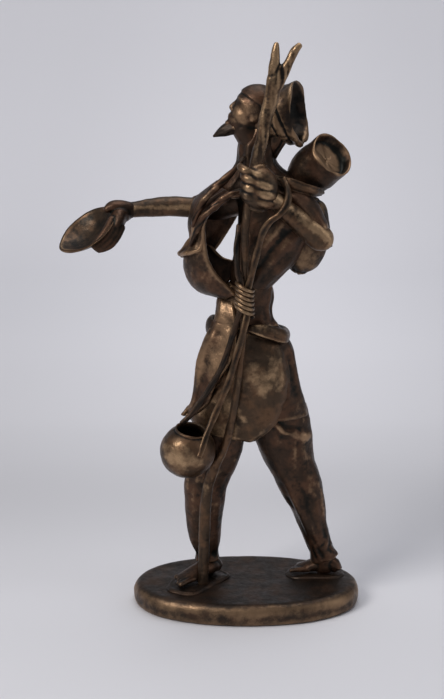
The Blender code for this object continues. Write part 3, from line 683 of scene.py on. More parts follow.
# plinth: a squarish oval outline, drawn in along a profile of (inset, height)
def makePlinth():
    low, high = (np.array(c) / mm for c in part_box("base_plate"))
    middle, half = (low + high) / 2, (high - low) / 2
    top = high[2]
    deep = half[1] - 0.3
    profile = np.array([
        (deep, top - 0.5), (half[1] * 0.7, top - 0.45), (half[1] * 0.4, top - 0.35), (9, top - 0.2),
        (5.4, top - 0.1), (3.6, top - 0.2),
        (2.2, top - 0.8), (1.1, top - 1.9), (0.35, top - 3.3), (0, top - 5), (0, 4.4), (0.2, 2.4),
        (0.8, 0.9), (1.8, 0.2),
        (3.6, 0), (10, 0), (deep, 0),
    ])
    flat = np.stack([profile[:, 0], profile[:, 1], np.zeros(len(profile))], -1)
    rows = evenRows(flat, plinth["spacing"])
    a = np.linspace(0, 2 * math.pi, 380, endpoint=False)[None, :]
    c, s = np.cos(a), np.sin(a)
    c = np.sign(c) * np.abs(c) ** 0.93
    s = np.sign(s) * np.abs(s) ** 0.93
    inset = np.minimum(rows[:, :1], deep)
    reachX = half[0] - inset * (1 + (half[0] / half[1] - 1) * (inset / half[1]) ** 2)
    x = middle[0] + np.maximum(reachX, 0.3) * c
    y = middle[1] + (half[1] - inset) * s
    z = np.broadcast_to(rows[:, 1:2], x.shape)
    rings = np.stack([x, y, z], -1)
    inside = held((inset - 3) / 6) * (rows[:, 1:2] > 5)
    dish = plinth["topLumps"] * (lumps(rings, 21, 1) + 0.4 * lumps(rings, 8, 2)) * inside
    frontMound = 0.5 * np.exp(-(((x + 24) / 13) ** 2 + ((y + 2) / 12) ** 2))
    rearMound = 0.7 * np.exp(-(((x - 38) / 15) ** 2 + ((y - 1) / 9) ** 2))
    rings[..., 2] += dish + (frontMound + rearMound) * inside
    rim = bell(rows[:, 1:2] - 5.5, 3.8)
    wobble = plinth["rimLumps"] * lumps(rings * (1, 1, 0.4), 14, 3) * rim
    wobble = wobble + 0.2 * lumps(rings, 4.2, 4) * rim
    rings = pushed(rings, wobble)
    rings[..., 2] = np.maximum(rings[..., 2], 0)

    # painted highlight along the upper band of the rim's side, and painted shade darkening the top
    def tone(points):
        z = points[:, 2]
        side = bell(z - 7.6, 2.4) * (0.75 + 0.8 * lumps(points, 10, 5))
        return 0.45 * side - 0.5 * held(z - 9.6)

    addPiece("base_plate", "dark", [rings], wax=0.45, paint=tone, name="plinth")


sole = {"spacing": 0.45, "uneven": 0.09, "wax": 1.4}


# the outline of two discs and the straight sides between them, drawn in towards the middle
def makeSole(node, toe, heel, toeRadius, heelRadius, lift):
    a = np.linspace(0, 2 * math.pi, 721)
    way = np.stack([np.cos(a), np.sin(a)], -1)
    toe, heel = np.array(toe, float), np.array(heel, float)
    front = (way @ toe + toeRadius)[:, None] > (way @ heel + heelRadius)[:, None]
    edge = np.where(front, toe + toeRadius * way, heel + heelRadius * way)
    steps = np.concatenate([[0], np.cumsum(np.linalg.norm(np.diff(edge, axis=0), axis=1))])
    at = np.linspace(0, steps[-1], 151)[:-1]
    edge = np.stack([np.interp(at, steps, edge[:, k]) for k in range(2)], -1)
    uneven = 1 + sole["uneven"] * lumps(np.column_stack([edge, 0 * edge[:, 0]]), 6, 17)
    low, high = (np.array(c)[2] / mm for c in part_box(node))
    profile = [
        (0.02, high - 0.5), (0.5, high - 0.5), (0.75, high - 0.6), (0.85, high - 0.9),
        (0.93, (high + low) / 2),
        (1, low - 0.1), (0.99, low - 0.5), (0.5, low - 0.6), (0.02, low - 0.6),
    ]
    flat = np.array([(r * toeRadius, z, 0) for r, z in profile])
    rows = evenRows(flat, sole["spacing"])
    middle = (toe + heel) / 2
    edge = middle + (edge - middle) * uneven[:, None]
    flatPart = middle + (edge - middle)[None] * (rows[:, :1, None] / toeRadius)
    rings = np.concatenate([flatPart, np.broadcast_to(rows[:, 1:2, None], (len(rows), len(edge), 1))], -1)
    rim = held(rows[:, :1] / toeRadius * 4 - 3) * (rows[:, 1:2] > (low + high) / 2)
    rings[..., 2] += lift * rim * held(lumps(rings, 7, 9) + 0.1)
    addPiece(node, "dark", [rings], wax=sole["wax"], paint=-0.9)


makePlinth()
makeSole("front_sole", (-31.5, -10), (-15.6, 5.6), 10.6, 6.6, 0.9)
makeSole("rear_sole", (29.5, 7.6), (46, 6.4), 7.4, 6.2, 0.4)
print("plinth and soles ready")

# feet


foot = {"toes": 5, "toeSize": 1.6, "toeStep": 0.12, "toeGap": 0.43}


# a foot: arched sections from heel to toes with a shank and toes melted in
def makeFoot(node, heel, toe, ankle, width, seed):
    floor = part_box(node)[0].z / mm
    heel, toe = np.array([*heel, floor]), np.array([*toe, floor])
    length = np.linalg.norm(toe - heel)
    along = (toe - heel) / length
    side = np.cross((0, 0, 1), along)
    up = np.array([0, 0, 1])

    def at(share, across, height):
        return heel + along * length * share + side * across * width + up * height

    sections = [
        (0.08, 2.8, 0.60, 2.6), (0.17, 3.6, 0.84, 3.6), (0.30, 4.1, 0.95, 4.2), (0.5, 3.5, 0.98, 3.5),
        (0.68, 2.5, 1.04, 2.4), (0.83, 1.7, 0.95, 1.6),
    ]
    body = limb([(*at(s, 0, z), w * width, d) for s, z, w, d in sections], 0.5, deepAxis=(0, 0, 1))
    x, y = ankle
    shank = limb([(x, y, floor + 2.4, 5.2, 4.6), (x, y, 16.5, 5.2, 4.8), (x, y, 20.9, 5.2, 4.9)], 0.5)
    back = heel * 0.62 + np.array([x, y, floor]) * 0.38
    tendon = limb([
        (*back[:2], floor + 3, 3.6, 3.6), (*back[:2], 17, 3.9, 3.9), (x, y, 21, 4.2, 4.2),
    ], 0.5)
    parts = [body, shank, tendon]
    for k in range(foot["toes"]):
        across = 0.86 - foot["toeGap"] * k
        reach = 1 - 0.028 * k * k * (0.5 + 0.12 * k)
        size = foot["toeSize"] - foot["toeStep"] * k
        tip = at(reach - 0.04, across, size * 0.85)
        root, middle = at(0.62, across * 0.9, 2.2), at(0.84, across, 1.9)
        toeRows = [(*root, size, size), (*middle, size * 0.95, size * 0.9), (*tip, size, size * 0.8)]
        parts.append(limb(toeRows, 0.4, deepAxis=(0, 0, 1)))
    addPiece(node, "brown", parts, melt=0.34, soften=4, wax=0.9, seed=seed, paint=-0.25)


makeFoot("front_foot", (-13.6, 8.6), (-38.6, -13.4), (-20.9, 5), 5.2, 31)
makeFoot("rear_foot", (51, 6), (23, 8), (41.4, 6), 5, 34)
print("feet ready")

# trousers and tunic


frontLeg = {"spacing": 0.62, "foldHeight": 0.42, "gathers": 0.25}


def makeFrontLeg():
    low, high = (np.array(c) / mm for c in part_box("front_trouser_leg"))
    rows = [
        (-13, -0.6, high[2] + 1, 13.4, 10), (-15.5, 0, 85, 12.8, 9.6), (-21, 2, 67, 11.4, 8.8),
        (-22, 3.2, 55, 10.6, 8.4), (-22.4, 4.4, 44, 9.6, 7.7), (-21.9, 4.9, 35, 8.6, 7.3),
        (-21.4, 5, 30.5, 7.6, 6.8), (-20.9, 5, 25.6, 6, 5.8), (-20.7, 5, low[2] + 0.6, 6.5, 6.2),
    ]
    rings = limb(rows, frontLeg["spacing"], roundness=(0.1, 0.12))
    u, a = shares(rings)
    shape = folds(rings, 7, 26, 0.8, frontLeg["foldHeight"], 3)
    shape = creased(rings, shape, (
        (252, 22, 14, 0.35, 0.25, 0.8), (222, -15, 13, -0.3, 0.35, 0.9), (285, 30, 12, 0.4, 0.2, 0.65),
        (272, -12, 10, -0.3, 0.5, 0.95), (90, 20, 12, 0.7, 0.3, 0.8), (140, -20, 10, 0.6, 0.4, 0.9),
    ))
    gather = bell(u - 0.93, 0.05) * np.sin(9 * a + 3 * lumps(rings, 5, 6))
    rings = pushed(rings, shape + frontLeg["gathers"] * gather)
    rings[..., 0] = np.minimum(rings[..., 0], high[0] + 0.2)
    addPiece(
        "front_trouser_leg", "brown", [rings], seed=12,
        paint=lambda points: 0.6 * lumps(points * (1, 1, 0.12), 2.6, 11) - 0.3,
        # painted highlights down the side of the leg that faces the key light
        polishAndPaintedLight=((-31, -3, 70, 12, 0.4), (-31, -2, 46, 10, 0.4), (-16, -2, 50, 7, 0.3)),
    )


rearLeg = {"spacing": 0.62, "foldHeight": 0.85, "gathers": 0.25}


def makeRearLeg():
    low, high = (np.array(c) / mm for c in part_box("rear_trouser_leg"))
    rows = [
        (16.4, 5, high[2] + 1, 14.8, 11), (18.6, 5, 92, 14.6, 10.9), (23.4, 5.6, 76.5, 12.8, 10.1),
        (30, 6, 58.5, 10.4, 9.1), (34, 6, 46, 8.4, 8), (36.8, 6, 37, 7, 7),
        (39.4, 6, 28.5, 6.6, 6.3), (41.6, 6, low[2] + 0.6, 7.7, 6.6),
    ]
    rings = limb(rows, rearLeg["spacing"], roundness=(0.1, 0.12))
    u, a = shares(rings)
    shape = folds(rings, 7.5, 12, 1.8, rearLeg["foldHeight"], 14)
    shape = creased(rings, shape, (
        (304, -8, 12, 0.9, 0.3, 0.85), (274, -14, 11, -0.5, 0.35, 0.85), (252, -20, 13, 0.4, 0.4, 0.8),
        (326, -10, 10, -0.3, 0.4, 0.8), (70, 30, 11, 0.8, 0.2, 0.7), (110, -30, 10, 0.7, 0.4, 0.9),
    ))
    x, z = rings[..., 0], rings[..., 2]
    hem = 103 - 0.78 * (x - 11) + 0.012 * (x - 11) ** 2
    side = held((6 - rings[..., 1]) / 6) * held((x - 8) / 6)
    hem = hem + 1.6 * lumps(rings, 7, 15)
    shape = shape + side * (0.9 * bell(z - hem, 2.2) - 0.5 * bell(z - hem + 4.6, 3))
    shape = shape + side * 0.8 * bell(z - hem - 9, 4.2)
    gather = bell(u - 0.9, 0.06) * np.sin(8 * a + 3 * lumps(rings, 5, 16))
    rings = pushed(rings, shape + rearLeg["gathers"] * gather)
    rings[..., 0] = np.maximum(rings[..., 0], low[0] - 0.2)
    addPiece(
        "rear_trouser_leg", "brown", [rings], seed=18,
        paint=lambda points: 0.6 * lumps(points * (1, 1, 0.12), 2.6, 17) - 0.3,
        # painted sheen down the leg's right ridge
        polishAndPaintedLight=(
            (29, -5, 92, 6, 0.8), (33, -4, 82, 8, 0.7), (38, -3, 66, 8, 0.8), (42, -2, 52, 7, 0.6),
            (44, 0, 30, 6, 0.3),
        ),
    )


skirtRows = np.array((
    (104.2, -27, 31.2, -12.6, 13.4), (108, -27, 31, -13, 13.6), (112, -27, 29.8, -13.2, 13.8),
    (120, -26.6, 27, -13.4, 13.8), (130, -26.2, 25.2, -13.2, 13.4), (140, -23.8, 23.6, -12.6, 12.6),
    (148, -20.4, 19, -11.6, 11.6), (156, -15.6, 12.4, -10.6, 10.6),
))


# the skirt's near side at x and z, a distance proud of it
def onSkirt(x, z, proud):
    box = [np.interp(z, skirtRows[:, 0], skirtRows[:, k]) for k in range(1, 5)]
    halfX, halfY = (box[1] - box[0]) / 2 + proud, (box[3] - box[2]) / 2 + proud
    share = np.clip((x - (box[0] + box[1]) / 2) / halfX, -0.998, 0.998)
    return np.stack([x, (box[2] + box[3]) / 2 - halfY * np.sqrt(1 - share**2), z + 0 * x], -1)


skirt = {"spacing": 0.7, "foldHeight": 0.8}


def makeSkirt():
    rings = trunk(skirtRows, skirt["spacing"])
    u = shares(rings)[0]
    shape = folds(rings, 6.5, 22, 0.5, skirt["foldHeight"], 22) * (1 - 0.5 * u)
    shape = shape + 0.5 * bell(u - 0.06, 0.03)
    shape = creased(rings, shape, (
        (316, 5, 8, 0.8, 0.1, 0.8), (330, 12, 8, -0.5, 0.45, 1), (345, -10, 8, 0.8, 0.2, 0.9),
        (20, 5, 9, 0.8, 0, 0.7), (60, 8, 9, 0.7, 0, 0.6), (150, -8, 9, 0.8, 0, 0.7),
        (185, 4, 8, 0.6, 0, 0.7),
    ))
    rings = pushed(rings, shape)

    def tone(points):
        return -0.6 * bell(points[:, 2] - 104, 3)

    addPiece(
        "tunic_skirt", "brown", [rings], seed=24, paint=tone,
        polishAndPaintedLight=((20, -9, 128, 4, 0.3), (29, 0, 112, 6, 0.3)),
    )


# a cloth panel on the skirt's near side: rows of (left x, left z, right x, right z)
def skirtPanel(edges, proud, rows, columns):
    table = smoothRows(edges, rows)
    t = np.linspace(0, 1, columns)[None, :]
    x = table[:, 0:1] + (table[:, 2:3] - table[:, 0:1]) * t
    z = table[:, 1:2] + (table[:, 3:4] - table[:, 1:2]) * t
    return onSkirt(x, z, proud)


apron = {"thickness": 1.8, "hem": 0.3, "foldHeight": 0.4}


def makeApron():
    edges = (
        (-2, 150.4, 16.5, 145.4), (-8, 138, 20.4, 132), (-14, 124, 20.8, 119), (-25.5, 111, 16.4, 106),
        (-31, 104, 10.6, 98.6), (-24, 97.5, 3.6, 93.8),
    )
    grid = skirtPanel(edges, 1.5, 110, 84)
    u, v = sheetShares(110, 84)
    wave = apron["foldHeight"] * np.sin(8 * v + 1.6 * lumps(grid, 13, 31) + 2.5 * u) * (0.3 + 0.7 * u)
    wave = wave + 0.5 * lumps(grid, 8, 32) + 0.3 * lumps(grid, 4, 33)
    wave = wave + 0.7 * lumps(grid, 15, 35) + 1.9 * np.exp(
        -(((u - 0.33) / 0.22) ** 2 + ((v - 0.62) / 0.3) ** 2)
    )
    tuck = 1.9 * bell(v, 0.07) + 2.2 * bell(1 - v, 0.06) + 1.4 * bell(u, 0.06) + 0.7 * bell(1 - u, 0.03)
    grid[..., 1] += tuck - wave * 0.8
    hem = bell(1 - u, 0.06)
    thick = apron["thickness"] + apron["hem"] * hem

    def tone(points):
        edge = held((points[:, 0] - 18) / 2.5)
        bottom = held((106 - points[:, 2]) / 6)
        mottle = 0.9 * lumps(points, 9, 34) + 0.35 * lumps(points, 4.5, 36) + 0.2 * lumps(points, 1.8, 37)
        return mottle - 0.7 * edge - 0.5 * bottom - 0.05

    addPiece(
        "apron_panel", "rubbed", [slab(grid, thick)], seed=27, paint=tone,
        # painted highlights on the hip, where it faces the light; the negative spots darken the middle and
        # the top
        polishAndPaintedLight=(
            (3, -16, 133, 6, 0.8), (14, -15, 134, 7, 0.8), (6, -15, 122, 7, 0.3), (-8, -15, 98, 6, 0.9),
            (-18, -14, 112, 6, 0.5), (4, -14, 106, 9, -0.7), (8, -14, 146, 8, -0.7),
        ),
    )


flap = {"thickness": 1.7, "foldHeight": 0.5}


def makeFlap():
    edges = (
        (-13.6, 167, -8.2, 166), (-15.6, 158, -6.6, 157), (-20.6, 147.6, -6.9, 145),
        (-25.2, 135, -9.6, 136), (-26.7, 121, -16.4, 124.6), (-28.4, 111.8, -20.6, 113.6),
        (-31.2, 107, -25.6, 107.6), (-33.2, 104, -29.6, 103.6),
    )
    grid = skirtPanel(edges, 3.2, 120, 44)
    u, v = sheetShares(120, 44)
    wave = np.sin(2 * math.pi * (1.6 * v + 0.2 * u) + 1.2 * lumps(grid, 12, 41)) * flap["foldHeight"]
    grid[..., 1] -= wave * np.clip(u * 6 - 0.6, 0.2, 1) + 0.3 * lumps(grid, 5, 42)
    grid[..., 1] += 5 * held(1 - u * 6) ** 2 + 0.8 * bell(v, 0.08)
    edge = bell(1 - v, 0.12)
    thick = flap["thickness"] + 0.3 * edge

    def tone(points):
        high = 0.5 * held((points[:, 2] - 118) / 16)
        return high + 0.15 + 0.35 * lumps(points * (1, 1, 0.3), 3, 43)

    addPiece(
        "front_flap", "brown", [slab(grid, thick)], seed=30, paint=tone,
        # painted highlight line along the flap's fold
        polishAndPaintedLight=((-11, -13, 152, 5, 0.5), (-13, -15, 140, 5, 0.4), (-24, -13, 130, 5, 0.2)),
    )


rolls = {"backFolds": 0.4, "frontFolds": 0.45, "spacing": 0.45}


# rolled folds at the waist: paths of (x, y, z, half out, half up)
def makeRolls():
    back = limb((
        (-3, -13, 154.4, 1.2, 0.9), (2, -13.8, 153.8, 2.3, 2.3), (7.4, -13.6, 152.6, 2.8, 3.7),
        (13, -11.6, 150.6, 3.1, 4), (17.4, -8.2, 148.4, 3.3, 3.9), (19, -2, 147, 3.3, 3.5),
        (18.6, 5, 147, 3, 3), (15.6, 10, 147.6, 2.4, 2.2), (10, 12.6, 148.4, 1.2, 1.1),
    ), rolls["spacing"], deepAxis=(0, 0, 1))
    u, a = shares(back)
    shape = folds(back, 4, 14, 1, rolls["backFolds"], 51) + crease(back, 200, 60, 16, 0.5)
    shape = shape - 0.6 * bell(np.sin((a - 1.2) / 2), 0.16) * np.sin(math.pi * u)
    addPiece(
        "waist_roll_back", "rubbed", [pushed(back, shape)], seed=33, paint=-0.45,
        # painted highlight on the roll's lit upper side
        polishAndPaintedLight=((6, -15, 155, 5, 0.9), (14, -11, 153, 5, 0.3)),
    )
    front = limb((
        (-9, -10.6, 153.4, 1.2, 1.6), (-13.4, -9.4, 152.6, 1.8, 3.4), (-17, -5.8, 151.6, 2.5, 4.8),
        (-18.6, 0, 151.2, 2.6, 5.2), (-17, 6, 151.4, 2.3, 4.6), (-12.6, 10.4, 151.8, 1.2, 2.4),
    ), rolls["spacing"], deepAxis=(0, 0, 1))
    front = pushed(front, folds(front, 4, 10, 1, rolls["frontFolds"], 52))
    addPiece("waist_roll_front", "brown", [front], seed=36)


makeFrontLeg()
makeRearLeg()
makeSkirt()
makeApron()
makeFlap()
makeRolls()
print("trousers and tunic ready")

# trunk


trunkFolds = {"abdomen": 0.6, "torso": 0.7, "neck": 0.6}


def makeTrunk():
    rows = [
        (152.6, -18.6, 16, -11.3, 11.2), (156, -16.8, 13.4, -10.9, 10.8), (161, -15.5, 12.1, -10.6, 10.4),
        (167, -14.6, 12.5, -10.2, 10), (174, -9.6, 12, -9.5, 9.4),
    ]
    rings = trunk(rows, 0.6)
    shape = folds(rings, 5, 14, 0.8, trunkFolds["abdomen"], 61)
    shape = creased(rings, shape, ((318, 30, 9, 0.7), (338, 35, 8, 0.7), (205, -10, 12, 0.5)))
    addPiece(
        "abdomen", "brown", [pushed(rings, shape)], seed=39,
        paint=lambda points: 0.2 * held((-points[:, 0] + 2) / 6) + 0.3 * lumps(points, 3.5, 62),
        polishAndPaintedLight=((-7, -10, 167, 5, 0.6), (-8, -10, 159, 5, 0.4)),
    )
    rows = [
        (172.4, -8.6, 12, -9.2, 9.2), (179, -8.2, 18.6, -10.8, 9.8), (186, -7.6, 25.4, -11.6, 10.2),
        (198, -5.6, 31, -12, 10.6), (210, -5, 32.6, -12.2, 11.2), (218, -6.4, 30.4, -11.4, 11),
        (223, -10, 25, -10.6, 10.4), (227.4, -9, 18, -8.8, 8.8),
    ]
    rings = trunk(rows, 0.65)
    x, z = rings[..., 0], rings[..., 2]
    slope = (z - 200) - 1.15 * (x - 14)
    near = held(-rings[..., 1] / 6)
    shape = folds(rings, 7, 15, -0.9, trunkFolds["torso"], 63)
    for offset, width, height in (
        (-10, 2.6, 0.5), (-4.5, 2.2, -0.4), (2, 3, 0.6), (9, 2.6, -0.4), (16, 3.4, 0.5),
    ):
        shape = shape + near * height * bell(slope - offset + 2.5 * lumps(rings, 9, 64), width)
    addPiece(
        "torso", "brown", [pushed(rings, shape)], seed=42,
        paint=lambda points: 0.4 * lumps(points, 4.5, 67) - 0.3,
        polishAndPaintedLight=((16, -12, 203, 6, 0.7), (10, -11, 187, 5, 0.7), (3, -11, 216, 4, 0.4)),
    )
    rows = [
        (5.6, 0, 222, 19.6, 11.2), (5.2, 0, 227, 18.4, 10.8), (4.8, 0, 231.4, 14, 9.8),
        (4.6, 0, 235.4, 10.9, 9), (4.5, 0, 239.4, 9.8, 8.4), (4.6, 0, 243.4, 9.9, 8.4),
        (5.2, 0, 247.4, 9.6, 8.2), (6.4, 0, 252.4, 7.2, 7),
    ]
    rings = limb(rows, 0.5, roundness=(0.2, 0.6))
    shape = creased(rings, 0, ((225, 25, 11, 0.7), (250, 30, 9, -0.4), (268, 20, 9, 0.4)))
    shape = shape + folds(rings, 4, 13, 0.5, trunkFolds["neck"], 66)
    addPiece("neck", "brown", [pushed(rings, shape)], seed=45, polishAndPaintedLight=((-4, -8, 238, 5, 0.3),))


makeTrunk()
print("trunk ready")

# head, beard and cap

headPlace = {"centre": (2.6, 0, 262.2), "tilt": 28, "strands": 0.4, "capStep": 0.6}


# points given as (towards the face, left ear, crown), set in the tilted head
def inHead(points):
    points = np.asarray(points, float)
    t = math.radians(headPlace["tilt"])
    x, y, z = -points[..., 0], -points[..., 1], points[..., 2]
    turnedPoints = np.stack([
        x * math.cos(t) + z * math.sin(t), y, -x * math.sin(t) + z * math.cos(t),
    ], -1)
    return turnedPoints + headPlace["centre"]


def makeHead():
    brow = [
        (7, -5.8, 2.6, 1, 1.1), (8.8, -3.2, 3.2, 1.2, 1.2), (9.2, 0, 3, 1.2, 1.2),
        (8.8, 3.2, 3.2, 1.2, 1.2), (7, 5.8, 2.6, 1, 1.1),
    ]
    parts = [
        ball((-1, 0, 3), (11.2, 9.3, 10.8)),
        ball((1.2, 0, -2.4), (8.8, 7.8, 10.2)),
        ball((2.6, 0, -8), (6.8, 6.4, 5)),
        ball((7.6, 0, -11), (2.4, 3, 2.2)),
        limb(brow, 0.4, deepAxis=(0, 0, 1)),
        limb([
            (8.8, 0, 3.2, 1.1, 1.2), (9.7, 0, 0, 1.1, 1.2), (10.7, 0, -3, 1.2, 1.3),
            (10, 0, -4.2, 0.8, 0.8),
        ], 0.4),
    ]
    parts += [ball((9.6, side * 1.4, -3.9), (1.2, 1, 0.9)) for side in (-1, 1)]
    parts += [ball((4.2, side * 3.7, -3.4), (4, 3.4, 4.4)) for side in (-1, 1)]
    parts += [ball((7, side * 3.3, 0.2), (1.4, 2, 0.9)) for side in (-1, 1)]
    for z, reach, size in ((-6.6, 9.6, 0.85), (-8, 9.3, 0.9)):
        lip = [(reach - 1.6, y, z + 0.1, 0.5, 0.5) for y in (-2.8, 2.8)]
        lip.insert(1, (reach, 0, z, size, size))
        parts.append(limb(lip, 0.35, deepAxis=(0, 0, 1)))
    for side in (-1, 1):
        parts.append(ball((-1, side * 7.8, -1), (2.2, 1.3, 3.2)))
        parts.append(ball((-1.7, side * 8.6, 0.2), (1.5, 0.7, 2.2)))
    parts = [inHead(part) for part in parts]
    parts.append(limb([
        (15, -1, 260, 5, 6.8), (15.6, -1.2, 252, 4.4, 6.6), (13.4, -0.6, 246, 3.6, 6),
        (12, 0, 240, 2, 4.6),
    ], 0.5))
    parts.append(limb([(-2, 0, 254, 6.4, 7), (2, 0, 249, 7.4, 7.6), (5, 0, 245.6, 7, 7.4)], 0.5))

    def local(points):
        t = math.radians(headPlace["tilt"])
        x, y, z = (points - headPlace["centre"]).T
        return -(x * math.cos(t) - z * math.sin(t)), -y, x * math.sin(t) + z * math.cos(t)

    def capEdge(points):
        forward, _, up = local(points)
        line = 5.6 + np.minimum(forward + 1, 0) * 1.1 + 0.4 * lumps(points, 5, 72)
        return held((up - line) / 0.7)

    def strands(points):
        back = held((points[:, 0] - 10) / 3) * held((262 - points[:, 2]) / 4)
        comb = np.sin(points[:, 1] * 2.6 + 0.9 * points[:, 0] + 1.6 * lumps(points, 4, 71))
        return headPlace["strands"] * back * comb + headPlace["capStep"] * capEdge(points)

    # painted shade under the cap's edge, under the jaw and over the back of the head
    def tone(points):
        forward, left, up = local(points)
        jaw = held((-7.5 - up) / 1.5) * held((8 - forward) / 3)
        back = held((points[:, 0] - 9) / 3)
        return -0.5 * capEdge(points) - 0.6 * jaw - 0.5 * back

    addPiece(
        "head", "brown", parts, melt=0.36, soften=7, wax=0.7, carve=strands, paint=tone, seed=48,
        # painted highlight on the cheek
        polishAndPaintedLight=((*inHead((5, 7, -3)), 7, 0.7),),
    )
    root, middle, tip = (inHead(p) for p in ((4.6, 0, -11.2), (8.4, 0, -15.8), (11.4, 0, -20.2)))
    rings = limb([(*root, 4, 4.6), (*middle, 2.8, 3.1), (*tip, 0.5, 0.5)], 0.35)
    u, a = shares(rings)
    rings = pushed(rings, 0.2 * np.sin(7 * a + 2 * u + 2 * lumps(rings, 4, 73)) * (1 - 0.6 * u))
    addPiece("beard", "dark", [rings], seed=51, wax=0.5)


cap = {"centre": (24.6, 0, 261.4), "axis": (0.95, -0.27, 0.14), "bandHeight": 0.8}


# a cap: a profile of (radius, height) turned round its axis, with a raised band, streaks
# and a slightly squared outline
def makeCap():
    outside = [
        (0.02, -25.2), (3.6, -25), (6.8, -24.1), (11.2, -20.4), (13.5, -13.6), (14.2, -8), (14.8, -4),
        (15.9, -0.8),
    ]
    rim = [(16.3, 0.3), (16, 0.9), (15.2, 0.5)]
    inside = [(14.4, -1.4), (13, -4.2), (9.8, -7.2), (5, -8.8), (0.02, -9.2)]
    rings = turned(outside + rim + inside, cap["centre"], cap["axis"], 0.5)
    a = shares(rings)[1]
    axis = unit(np.array(cap["axis"], float))
    along = (rings - np.array(cap["centre"])) @ axis
    outer = np.arange(len(rings))[:, None] < np.argmax(along[:, 0])
    low = held(-(rings[..., 2] - 256) / 8)
    line = along + 9 + 0.30 * (rings[..., 2] - 262)
    shape = cap["bandHeight"] * bell(line, 1.9) - 0.7 * bell(line - 2.6, 0.6) - 0.5 * bell(line + 2.6, 0.7)
    shape = np.where(outer, shape, 0)
    shape = shape + 0.5 * low * np.sin(9 * a + 2.5 * lumps(rings, 5, 77)) * bell(along + 1, 4)
    away = rings - np.array(cap["centre"]) - along[..., None] * axis
    lean = unit(away) @ unit(np.array((0, 0, 1)) - axis[2] * axis)
    shape = shape - 0.5 * (8 * lean**4 - 8 * lean**2 + 1) * held((along + 16) / 12)
    around = np.stack([np.cos(a) * 9 + 0 * along, np.sin(a) * 9 + 0 * along, 0.12 * along], -1)
    streaks = lumps(around, 1, 79)
    shape = shape + np.where(outer, 0.4 * streaks * np.clip((262 - rings[..., 2]) / 10, 0.25, 1), 0)
    shape = shape + 0.35 * lumps(rings, 7, 78) + 0.9 * low * bell(along - 0.2, 2)

    def tone(points):
        deep = (points - np.array(cap["centre"])) @ axis
        return 0.35 * bell(deep + 9, 3) - 0.4 * bell(deep + 0.2, 1.6) + 0.4

    addPiece(
        "head_wrap", "dark", [pushed(rings, shape)], seed=54, paint=tone,
        polishAndPaintedLight=((18, -14, 250, 5, 0.5), (12, -14, 268, 5, 0.4)),
    )


makeHead()
makeCap()
print("head ready")

# right arm and bowl


rightArm = {"sleeveFolds": 0.7, "armFolds": 0.35, "fingerGap": 2.3}


def makeRightArm():
    sleeve = limb([
        (4, 6, 217, 7.4, 6), (-6, 8.6, 215.4, 8.2, 6.6), (-16, 11.6, 213.2, 8.6, 6.8),
        (-22, 13.2, 211.2, 7, 6), (-25, 13.8, 210.4, 5.8, 5.6),
    ], 0.55)
    sleeve = pushed(sleeve, folds(sleeve, 5, 12, 1, rightArm["sleeveFolds"], 81))
    addPiece("right_sleeve", "brown", [sleeve], seed=57)
    arm = limb([
        (-22, 13.8, 210, 5.2, 4.9), (-30, 14, 210.4, 5.1, 4.8), (-39.5, 14, 210.8, 5, 4.7),
        (-49.5, 13.4, 210.4, 4.7, 4.4), (-56, 12.6, 209.8, 4.1, 4), (-62, 11.6, 209.4, 4, 3.9),
    ], 0.5)
    arm = pushed(arm, folds(arm, 6, 20, 0.3, rightArm["armFolds"], 82))

    # a painted highlight band along the arm, darker above and below it
    def tone(points):
        return 1.3 * bell(points[:, 2] - 211.4, 1.8) - 0.5

    addPiece("right_arm", "rubbed", [arm], seed=60, wax=0.8, paint=tone)
    parts = [
        limb([
            (-59, 11.6, 209.6, 4, 3.9), (-62.4, 10.6, 208.8, 4.8, 5), (-65.2, 8, 207, 4.6, 6.6),
            (-66.2, 3.8, 204.2, 3.8, 6.8), (-67.4, 0.6, 201.6, 2.4, 5),
        ], 0.45),
        limb([
            (-60, 11, 210.8, 3.2, 3.6), (-64.4, 9.6, 211.6, 3.4, 4.2), (-68.6, 8, 212.2, 3, 3.8),
            (-71.4, 6.8, 211, 2, 2.4),
        ], 0.4),
    ]
    path = np.array([(-66, 0.4, 205), (-68.6, -3.6, 200.4), (-72.2, -6.4, 196.4), (-76.6, -7.6, 194)])
    for k in range(4):
        away = np.array([0.74, 0, -0.62]) * (rightArm["fingerGap"] * (k - 1.5))
        bent = path + away * np.array([[1], [1], [0.9], [0.6]]) + np.array([0, 0.4 * abs(k - 1.5), 0])
        size = np.array([1.9, 2, 1.8, 1.4])
        parts.append(limb(np.column_stack([bent, size, size]), 0.4))
    addPiece(
        "right_hand", "brown", parts, melt=0.34, soften=7, wax=0.7, seed=63, paint=-0.45,
        polishAndPaintedLight=((-71, -8, 197, 5, 0.5), (-69, 8, 214, 4, 0.3)),
    )


bowl = {
    "centre": (-80.8, 5, 200.6), "axis": (-0.49, -0.34, 0.80), "radius": 16, "depth": 6.8, "wall": 1.2,
}


